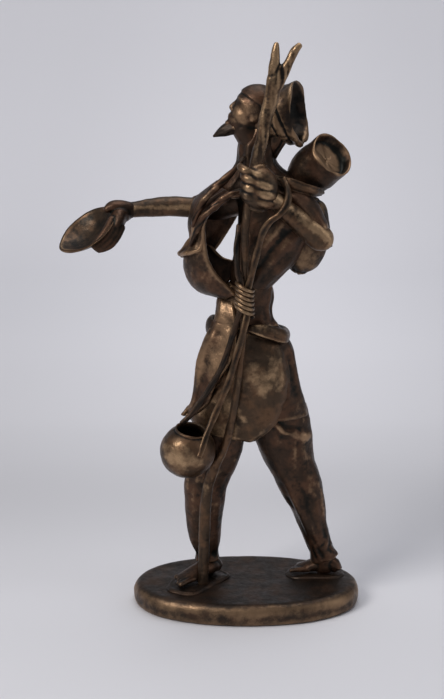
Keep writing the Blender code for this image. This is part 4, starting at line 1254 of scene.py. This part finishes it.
# a shallow dish: depth falls as the distance from its axis to the power 2.2, with a small
# spout pulled out of the rim at its tip
def makeBowl():
    radius, depth, wall = bowl["radius"], bowl["depth"], bowl["wall"]
    r = np.linspace(0.02, 1, 12)
    outer = np.stack([radius * r, -depth * (1 - r**2.2)], -1)
    lip = np.array([(radius + 0.1, 0.4), (radius - 0.3, 0.7), (radius - 0.7, 0.4)])
    r = np.linspace(0.97, 0.02, 12)
    inner = np.stack([(radius - wall * 0.8) * r, wall - depth * (1 - r**2.2)], -1)
    rings = turned(np.concatenate([outer, lip, inner]), bowl["centre"], bowl["axis"], 0.55)
    axis = unit(np.array(bowl["axis"], float))
    away = rings - np.array(bowl["centre"])
    tipWay = unit(np.cross(np.cross(axis, (-0.83, -0.25, -0.5)), axis))
    toTip = away @ tipWay
    across = np.linalg.norm(away - toTip[..., None] * tipWay - (away @ axis)[..., None] * axis, axis=-1)
    spout = np.exp(-(((toTip - 15) / 6) ** 2) - (across / 7) ** 2)
    rings = rings + tipWay * (1.6 * spout)[..., None] + axis * (0.7 * spout)[..., None]
    rings = pushed(rings, 0.35 * lumps(rings, 8, 85))

    # painted light and shade: a highlight on the left of the bowl, painted shadow under the hand, and the
    # rim darkened
    def tone(points):
        hand = np.array((-69, 4, 206))
        near = np.linalg.norm(points - hand, axis=1)
        left = bell(np.linalg.norm(points - (-86, 6, 194), axis=1), 10)
        high = (points - np.array(bowl["centre"])) @ axis
        return 0.9 * left - 0.35 - 1.2 * bell(near, 11) - 0.9 * bell(high, 1.2)

    addPiece("begging_bowl", "rubbed", [rings], seed=66, wax=0.5, paint=tone)


makeRightArm()
makeBowl()
print("right arm and bowl ready")

# left arm and fist


leftArm = {"sleeveFolds": 0.7, "armFolds": 0.4, "fingers": 4, "fingerStep": 4.25}


def makeLeftArm():
    upper = limb([
        (14, -8, 222.4, 6, 5.6), (22, -11.6, 219.6, 7.8, 6.2), (29, -13.6, 213.6, 7.6, 6.3),
        (35, -15.4, 206, 5.9, 5.7),
    ], 0.55)
    upper = pushed(
        upper, folds(upper, 5, 13, 0.8, leftArm["sleeveFolds"], 91) + crease(upper, 250, 10, 10, 0.6),
    )
    addPiece("left_upper_arm", "brown", [upper], seed=69)
    fore = limb([
        (41.5, -15.6, 197.4, 1, 0.9), (41, -15.7, 197.8, 3, 2.8), (39.8, -15.9, 198.8, 4.9, 4.5),
        (38.2, -16.1, 200.1, 6.1, 5.3), (36.4, -16.5, 201.5, 6.7, 5.7), (33, -17.2, 204.3, 6.9, 5.8),
        (28.4, -18.2, 208.1, 6.3, 5.5), (23.4, -19.4, 212.2, 5.4, 5.1), (18.6, -20.6, 216.4, 4.7, 4.6),
        (14.4, -21.8, 220.1, 4.3, 4.3), (10.6, -22.6, 223.4, 4, 4.4),
    ], 0.5, roundness=(0.5, 0.4))
    fore = pushed(fore, folds(fore, 6, 15, 0.4, leftArm["armFolds"], 93))

    # a painted highlight band along the top of the forearm
    def tone(points):
        off = points[:, 2] - (213.4 - 0.78 * (points[:, 0] - 27))
        return 1.6 * bell(off, 3.4) * (0.8 + 0.5 * lumps(points, 4, 95)) - 0.35

    addPiece("left_forearm", "rubbed", [fore], seed=72, paint=tone)
    parts = [limb([
        (4.6, -22.2, 218.6, 5, 3.6), (5.2, -22.6, 221.6, 8.4, 5.8), (5.5, -23, 228.5, 9.2, 6.2),
        (5.3, -22.8, 234.2, 7.8, 5.3), (5, -22.2, 238, 4.2, 3.2),
    ], 0.45)]
    for k in range(leftArm["fingers"]):
        z = 223.9 + leftArm["fingerStep"] * k
        size = np.array([1.6, 2.6, 2.8, 2.35, 2.6, 2.4, 2]) * (0.86 if k == 3 else 1)
        path = np.array([
            (14, -22.2, z - 4.6), (11.4, -25.9, z - 3.5), (7.8, -27.7, z - 2.2), (3.6, -27.2, z - 0.4),
            (0.3, -26.8, z + 0.9), (-1.6, -24.4, z + 1.7), (-2, -22, z + 1.9),
        ])
        path[:, 0] -= (0.5, 0, 0.4, 2)[k]
        path[:, 1] += (0.7, 0, 0.3, 1.6)[k]
        parts.append(limb(np.column_stack([path, size * 0.95, size * 0.9]), 0.4))
    parts.append(limb([
        (11.4, -21.4, 230, 2.8, 2.6), (9.4, -22.6, 234.2, 2.6, 2.4), (5, -23.6, 236.6, 2.3, 2.1),
        (1.6, -23.6, 236.6, 1.9, 1.8),
    ], 0.4))
    addPiece(
        "left_hand", "rubbed", parts, melt=0.32, soften=6, wax=0.6, seed=75, paint=-0.25,
        # painted highlights on the knuckles
        polishAndPaintedLight=(
            (9, -29, 230, 3.5, 1), (9, -29, 225, 3, 0.9), (0, -29, 229, 3.5, 0.9), (4, -28, 236, 4, 0.8),
        ),
    )


makeLeftArm()
print("left arm ready")

# staff, cords and pot

staff = {"groove": 0.22, "bark": 0.14}


def makeStaff():
    low, high = (np.array(c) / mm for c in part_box("staff"))
    shaft = limb([
        (14.8, -20, 287.2, 2.6, 2), (14.4, -20, 283.6, 4.2, 2.9), (13.2, -20.1, 280.6, 4.6, 3.3),
        (11.8, -20.2, 276, 3.8, 3.2), (11, -20.4, 271.2, 3.7, 3.1), (9.5, -20.6, 266.3, 3.4, 3),
        (8.2, -20.8, 261.4, 3.3, 3), (6.8, -21.2, 252, 3.1, 2.9), (4.8, -21.4, 245, 3.1, 2.8),
        (0.9, -21.6, 226, 2.4, 2.3), (-1.3, -19.6, 208, 2.1, 2.1), (-1.5, -18, 190, 2, 2),
        (-1.4, -17.2, 171, 2, 2), (-2.4, -18.6, 150, 2, 2), (-6, -19, 118, 2.1, 2),
        (-10.8, -16, 94, 2.3, 2.2), (-17.6, -12, 77, 2.6, 2.4),
        (-21, -9.6, 62, 2.8, 2.6), (-22.2, -8.8, 40, 2.8, 2.6), (-22.7, -9, low[2] - 0.3, 2.7, 2.6),
    ], 0.5)
    left = limb([
        (11.9, -20.2, 276, 2.7, 2.5), (12.3, -20.1, 285.8, 2.8, 2.5), (12.75, -20, 290.6, 2.5, 2.3),
        (13.05, -20, 295.2, 2, 1.9), (13.4, -20, high[2] - 1, 1.3, 1.3),
    ], 0.4)
    right = limb([
        (14.8, -20.2, 279, 2.4, 2.4), (17.6, -20, 285.8, 2.6, 2.3), (20.1, -19.8, 290.6, 2.2, 2.1),
        (22.4, -19.6, 295.2, 2.1, 1.9), (24.6, -19.4, 297.6, 1.6, 1.5),
    ], 0.4)

    def bark(points):
        drawn = points * (1, 1, 0.12)
        return staff["bark"] * lumps(drawn, 1.6, 101) + staff["groove"] * lumps(drawn, 3.2, 102)

    # painted highlight growing towards the top of the staff; the streaks along it are random
    def tone(points):
        high = 0.85 * held((points[:, 2] - 225) / 30)
        return high - 0.35 + 0.5 * lumps(points * (1, 1, 0.08), 1.4, 103)

    addPiece(
        "staff", "rubbed", [shaft, left, right], melt=0.36, soften=2, wax=0.8, carve=bark, seed=78,
        paint=tone, polishAndPaintedLight=((12, -22, 282, 8, 0.4), (11, -22, 268, 5, 0.4)),
    )


# a round limb through plain points, with one radius or one for each point
def cordThrough(points, radius, spacing=0.4, deepAxis=(0, 1, 0)):
    points = np.asarray(points, float)
    size = np.broadcast_to(np.asarray(radius, float), (len(points),))
    return limb(np.column_stack([points, size, size]), spacing, deepAxis)


cords = {"nearRadius": 1.4, "farRadius": 1.3, "nearTwist": 60, "farTwist": 50}


def makeCords():
    near = cordThrough((
        (17.2, -15.6, 231), (19.6, -20.4, 226.4), (19, -25.2, 220.6), (15.4, -27.4, 216),
        (10.4, -27.2, 212), (6.8, -24.8, 205), (4.4, -22.6, 195), (1.2, -20.9, 181), (0.1, -20.8, 176),
        (0, -20.8, 166), (-1.4, -22, 158), (-4.3, -22.6, 147), (-9, -22.4, 130), (-15.6, -22.4, 113),
        (-20.4, -25.4, 102), (-22.6, -29.2, 96.4), (-24.4, -31.6, 92),
    ), cords["nearRadius"])
    u, a = shares(near)
    near = pushed(near, 0.3 * np.cos(2 * a) + 0.12 * np.cos(2 * a - cords["nearTwist"] * u))
    addPiece("near_cord", "rubbed", [near], seed=81, wax=0.5)
    far = cordThrough((
        (-4.2, -14.6, 207), (-5.6, -17.4, 197), (-5.2, -19.6, 186), (-3.3, -20.4, 178),
        (-3.5, -20.4, 166), (-5.6, -19.9, 158.5), (-8.6, -18.8, 148), (-12.6, -19, 136),
        (-19.6, -18.8, 123), (-27, -18.8, 112), (-33, -19.2, 105.4),
    ), cords["farRadius"])
    u, a = shares(far)
    far = pushed(far, 0.25 * np.cos(2 * a) + 0.12 * np.cos(2 * a - cords["farTwist"] * u))
    # the dark slot paints the far cord in the shade it lies in
    addPiece("far_cord", "dark", [far], seed=84, wax=0.5)


binding = {"turns": 6, "pitch": 2.35, "wire": 1.08}


# a coil: a level ellipse whose height grows with the angle, tilted a little to the right
def makeBinding():
    a = np.linspace(0, 2 * math.pi * binding["turns"], 16 * binding["turns"] + 1)
    x = -1.5 + (3.9 + 0.15 * np.sin(a / 5)) * np.cos(a)
    y = -18.9 + 5.4 * np.sin(a)
    z = 163.6 + binding["pitch"] * a / (2 * math.pi) - 0.62 * (x + 1.5)
    rows = np.stack([x, y, z, 0 * a + binding["wire"], 0 * a + binding["wire"]], -1)
    rings = limb(rows, 0.35, deepAxis=(0, 0, 1))
    addPiece("staff_binding", "rubbed", [rings], seed=87, wax=0.6)


pot = {
    "centre": (-30.4, -19.5, 90.6), "axis": (0.16, -0.17, 0.97), "radius": 14, "mouth": 8.2, "wall": 1.5,
}


def makePot():
    radius, mouth, wall = pot["radius"], pot["mouth"], pot["wall"]
    t = np.linspace(0.02, math.pi - math.asin(mouth / radius), 22)
    outer = np.stack([radius * np.sin(t), -radius * np.cos(t)], -1)
    top = outer[-1, 1]
    lip = np.array([(mouth + 0.4, top + 0.7), (mouth - 0.2, top + 1.2), (mouth - 1, top + 0.6)])
    inner = radius - wall
    t = np.linspace(0.02, math.pi - math.asin((mouth - 0.5) / inner), 20)
    inside = np.stack([inner * np.sin(t), -inner * np.cos(t)], -1)[::-1]
    rings = turned(np.concatenate([outer, lip, inside]), pot["centre"], pot["axis"], 0.55)
    rings = pushed(rings, 0.3 * lumps(rings, 11, 111))

    def tone(points):
        high = (points - np.array(pot["centre"])) @ unit(np.array(pot["axis"], float))
        mottle = 0.5 * lumps(points, 6, 113) + 0.3 * lumps(points, 2, 114)
        return mottle - 0.45 - 1.2 * bell(high - top - 0.8, 1.3)

    addPiece(
        "gourd_pot", "rubbed", [rings], seed=90, paint=tone,
        # painted highlight on the pot's lit left side
        polishAndPaintedLight=((-38, -30, 93, 8, 0.9), (-33, -32, 86, 8, 0.4)),
    )


makeStaff()
makeCords()
makeBinding()
makePot()
print("staff, cords and pot ready")

# chest cloth


# a sheet that bows from a near edge round a front line to a far edge: a row runs along
# two quarter ellipses that meet at the front
def bowedGrid(near, front, far, rows, columns):
    near, front, far = (smoothRows(side, rows)[:, None] for side in (near, front, far))
    a = np.linspace(0, math.pi, columns)[None, :, None]
    nearHalf = a <= math.pi / 2
    start = np.where(nearHalf, near, far)
    share = np.where(nearHalf, a, math.pi - a)
    frontY = np.broadcast_to(front[..., 1], start.shape[:2])
    corner = np.stack([start[..., 0], frontY, (start[..., 2] + front[..., 2]) / 2], -1)
    return corner + (front - corner) * np.sin(share) + (start - corner) * np.cos(share)


chestCloth = {"thickness": 1.5, "drapeHem": 1.3, "pouchHem": 1, "ridge": 1.3, "groove": 0.9}


def makeChestCloth():
    grid = bowedGrid(
        (
            (-7, -13.8, 223.4), (-17.4, -13.4, 216.6), (-22.2, -12.8, 208), (-22.6, -12.8, 200),
            (-24, -13.2, 194.6),
        ),
        ((-15, 4, 225.6), (-26.4, 4, 216), (-29.4, 3.4, 206), (-29.2, 3, 197.4), (-33.8, 2.6, 188.6)),
        (
            (-3.6, 12.4, 219), (-5, 12.6, 209.4), (-9.6, 12.8, 200.4), (-14.2, 13, 192.6),
            (-18.2, 13.4, 187.2),
        ),
        90, 110,
    )
    u, v = sheetShares(90, 110)
    lower, shown = held(u - 0.28), held(u * 4 - 0.8)
    ridge = chestCloth["ridge"] * bell(v - 0.02 - 0.55 * lower, 0.05) * shown
    groove = -chestCloth["groove"] * bell(v - 0.11 - 0.50 * lower, 0.035) * shown
    wave = 0.5 * np.sin(17 * v + 4 * u + 1.5 * lumps(grid, 10, 121)) * (v > 0.2)
    normals = unit(np.cross(np.gradient(grid, axis=0), np.gradient(grid, axis=1)))
    outward = grid - grid.mean(axis=(0, 1))
    normals = normals if (normals * outward).sum() > 0 else -normals
    grid = grid + normals * (ridge + groove + wave * 0.8)[..., None]
    rope = bell(v, 0.035) + 0.8 * bell(1 - v, 0.03) + bell(1 - u, 0.05)
    thick = chestCloth["thickness"] + chestCloth["drapeHem"] * np.minimum(rope, 1)
    addPiece(
        "chest_drape", "brown", [slab(grid, thick)], seed=93,
        polishAndPaintedLight=((-23, -13, 206, 6, 0.5), (-28, -10, 192, 8, 0.3)),
    )
    grid = bowedGrid(
        (
            (-22.4, -12.4, 199.6), (-20.8, -12.6, 190), (-17.2, -12.8, 182.6), (-11.6, -13, 176.4),
            (-7.2, -13, 171.8),
        ),
        ((-28.4, 2, 194), (-31.8, 2, 186), (-30.4, 2, 177), (-24.6, 2, 169.4), (-14, 2, 166.2)),
        ((-19, 11.4, 191), (-16, 12, 187), (-12.4, 12, 184), (-7, 11, 182.6), (-1, 8.6, 180.6)),
        70, 100,
    )
    u, v = sheetShares(70, 100)
    grid = grid + 0.45 * lumps(grid, 9, 125)[..., None] * unit(grid - grid.mean(axis=(0, 1)))
    rope = bell(v, 0.04) + 0.8 * bell(1 - v, 0.04)
    thick = chestCloth["thickness"] + chestCloth["pouchHem"] * np.minimum(rope, 1)
    addPiece("chest_pouch", "brown", [slab(grid, thick)], seed=96, polishAndPaintedLight=((-21, -11, 180, 8, 0.35),))


scarf = {"strands": 0.34, "lumps": 0.5}


# two strands wound round each other as one fold of twisted cloth
def twisted(points, radii, turns, seed):
    rings = cordThrough(points, radii, 0.4)
    u, a = shares(rings)
    size = np.interp(u, np.linspace(0, 1, len(radii)), radii)
    strands = scarf["strands"] * size * (np.abs(np.cos(a - math.pi * turns * u)) - 0.6)
    return pushed(rings, strands + scarf["lumps"] * lumps(rings, 4, seed))


def makeScarf():
    outer = twisted((
        (-2, -8.4, 240), (-5.4, -9.8, 236.6), (-11, -12, 230.6), (-17.4, -13.6, 225.4),
        (-22.2, -14.2, 219.6), (-25.4, -13.4, 213.6), (-27.2, -11.6, 206.6),
    ), (1, 1.4, 1.7, 1.9, 1.7, 1.6, 1.1), 2.6, 141)
    addPiece("scarf_outer", "brown", [outer], seed=99, paint=lambda points: 0.5 * lumps(points, 4, 143))
    inner = twisted((
        (-3, -14.6, 225.4), (-9.6, -16, 223.2), (-14.9, -16.4, 219.2), (-19.8, -16, 214.6),
        (-23.8, -14.8, 208.6), (-26.4, -13.4, 203), (-28.6, -11.6, 196.4),
    ), (1.4, 1.7, 1.8, 1.8, 1.6, 1.6, 1.1), 3, 142)
    addPiece("scarf_inner", "brown", [inner], seed=102, paint=lambda points: 0.5 * lumps(points, 4, 144))


makeChestCloth()
makeScarf()
print("chest cloth ready")

# sack, strap and bag


baggage = {"sackDepth": 0.87, "rag": 0.9, "mouthTilt": 3.2, "bagFolds": 0.7}


def makeBaggage():
    outside = smoothRows([
        (27.6, 5, 221, 6.8, 6.2), (29.2, 4.8, 225.4, 10.4, 9.2), (32.8, 3.6, 231, 12.3, 10.6),
        (38.2, 1.4, 236.4, 12.1, 10.8), (43, -1, 241.2, 12, 11.2),
    ], 9)
    shell = limb(outside, 0.55, roundness=(0.7, 0.02))
    body = shell[:-6]
    middle = body.mean(axis=1, keepdims=True)
    inward = unit(body - middle)
    reach = np.linalg.norm(body - middle, axis=-1, keepdims=True)
    deep = int(len(body) * baggage["sackDepth"])
    share = np.linspace(0, 1, len(body) - deep)[:, None, None]
    inner = (middle[deep:] + inward[deep:] * (reach[deep:] * (0.80 + 0.11 * share)))[::-1]
    way = unit(middle[-1, 0] - middle[-6, 0])
    rim = middle[-1:] + inward[-1:] * (reach[-1:] - 0.5) + way * 0.6
    floor = inner[-1:].mean(axis=1, keepdims=True)
    base = [floor + (inner[-1:] - floor) * s - way * 1.6 * (1 - s) for s in (
        0.9, 0.75, 0.6, 0.45, 0.3, 0.15, 0.03,
    )]
    rings = np.concatenate([body, rim, inner] + base)
    shape = folds(rings, 8, 60, 0.6, 0.6, 131) + 0.3 * lumps(rings, 6, 132)
    mouth = np.array(outside[-1][:3])

    # painted light: the inside of the mouth is made bright although it lies in the sack's own shade
    def tone(points):
        inside = held(1 - np.linalg.norm(points - mouth, axis=1) / 11.5)
        return 4.5 * inside + 0.1

    fromRim = np.arange(len(rings))[:, None, None] - len(body)
    rag = bell(fromRim, 5) * baggage["rag"] * lumps(rings, 5, 134)[..., None]
    # the near side of the mouth is cut lower than the far side, so that the inside is seen
    nearMouth = bell(fromRim, 12)
    lean = (baggage["mouthTilt"] * (rings[..., 1:2] - mouth[1]) / 11 - 1) * nearMouth
    rings = pushed(rings, shape * 0.8) + (rag + lean) * way
    addPiece("sack", "brown", [rings], seed=105, paint=tone)
    strap = limb([
        (13.6, -11.8, 230.4, 1.9, 1.1), (20, -15.2, 228.8, 2.8, 1.2), (27, -15.2, 226.4, 2.8, 1.2),
        (33, -12, 224, 2.5, 1.1), (37.4, -5, 222.2, 1.9, 1),
    ], 0.4)
    a = shares(strap)[1]
    strap = pushed(strap, 0.25 * np.cos(4 * a) + 0.2 * lumps(strap, 4, 133))
    addPiece("sack_strap", "rubbed", [strap], seed=108, wax=0.9, paint=-1.1)
    bag = limb([
        (30.6, 3.4, 215.4, 6.2, 4), (31, 3.4, 211.6, 9.6, 6.8), (29.6, 3.4, 203, 12, 8.4),
        (28.2, 3.4, 193.4, 12.4, 8.6), (27, 3.4, 184.6, 9.4, 6.8), (26, 3.4, 180.2, 4.6, 3.6),
    ], 0.6, roundness=(0.8, 0.5))
    bag = pushed(bag, folds(bag, 6, 15, 0.8, baggage["bagFolds"], 135))
    addPiece("back_bag", "dark", [bag], seed=111, polishAndPaintedLight=((30, -4, 188, 8, 1),))


makeBaggage()
print("baggage ready, pieces", len(madePieces))
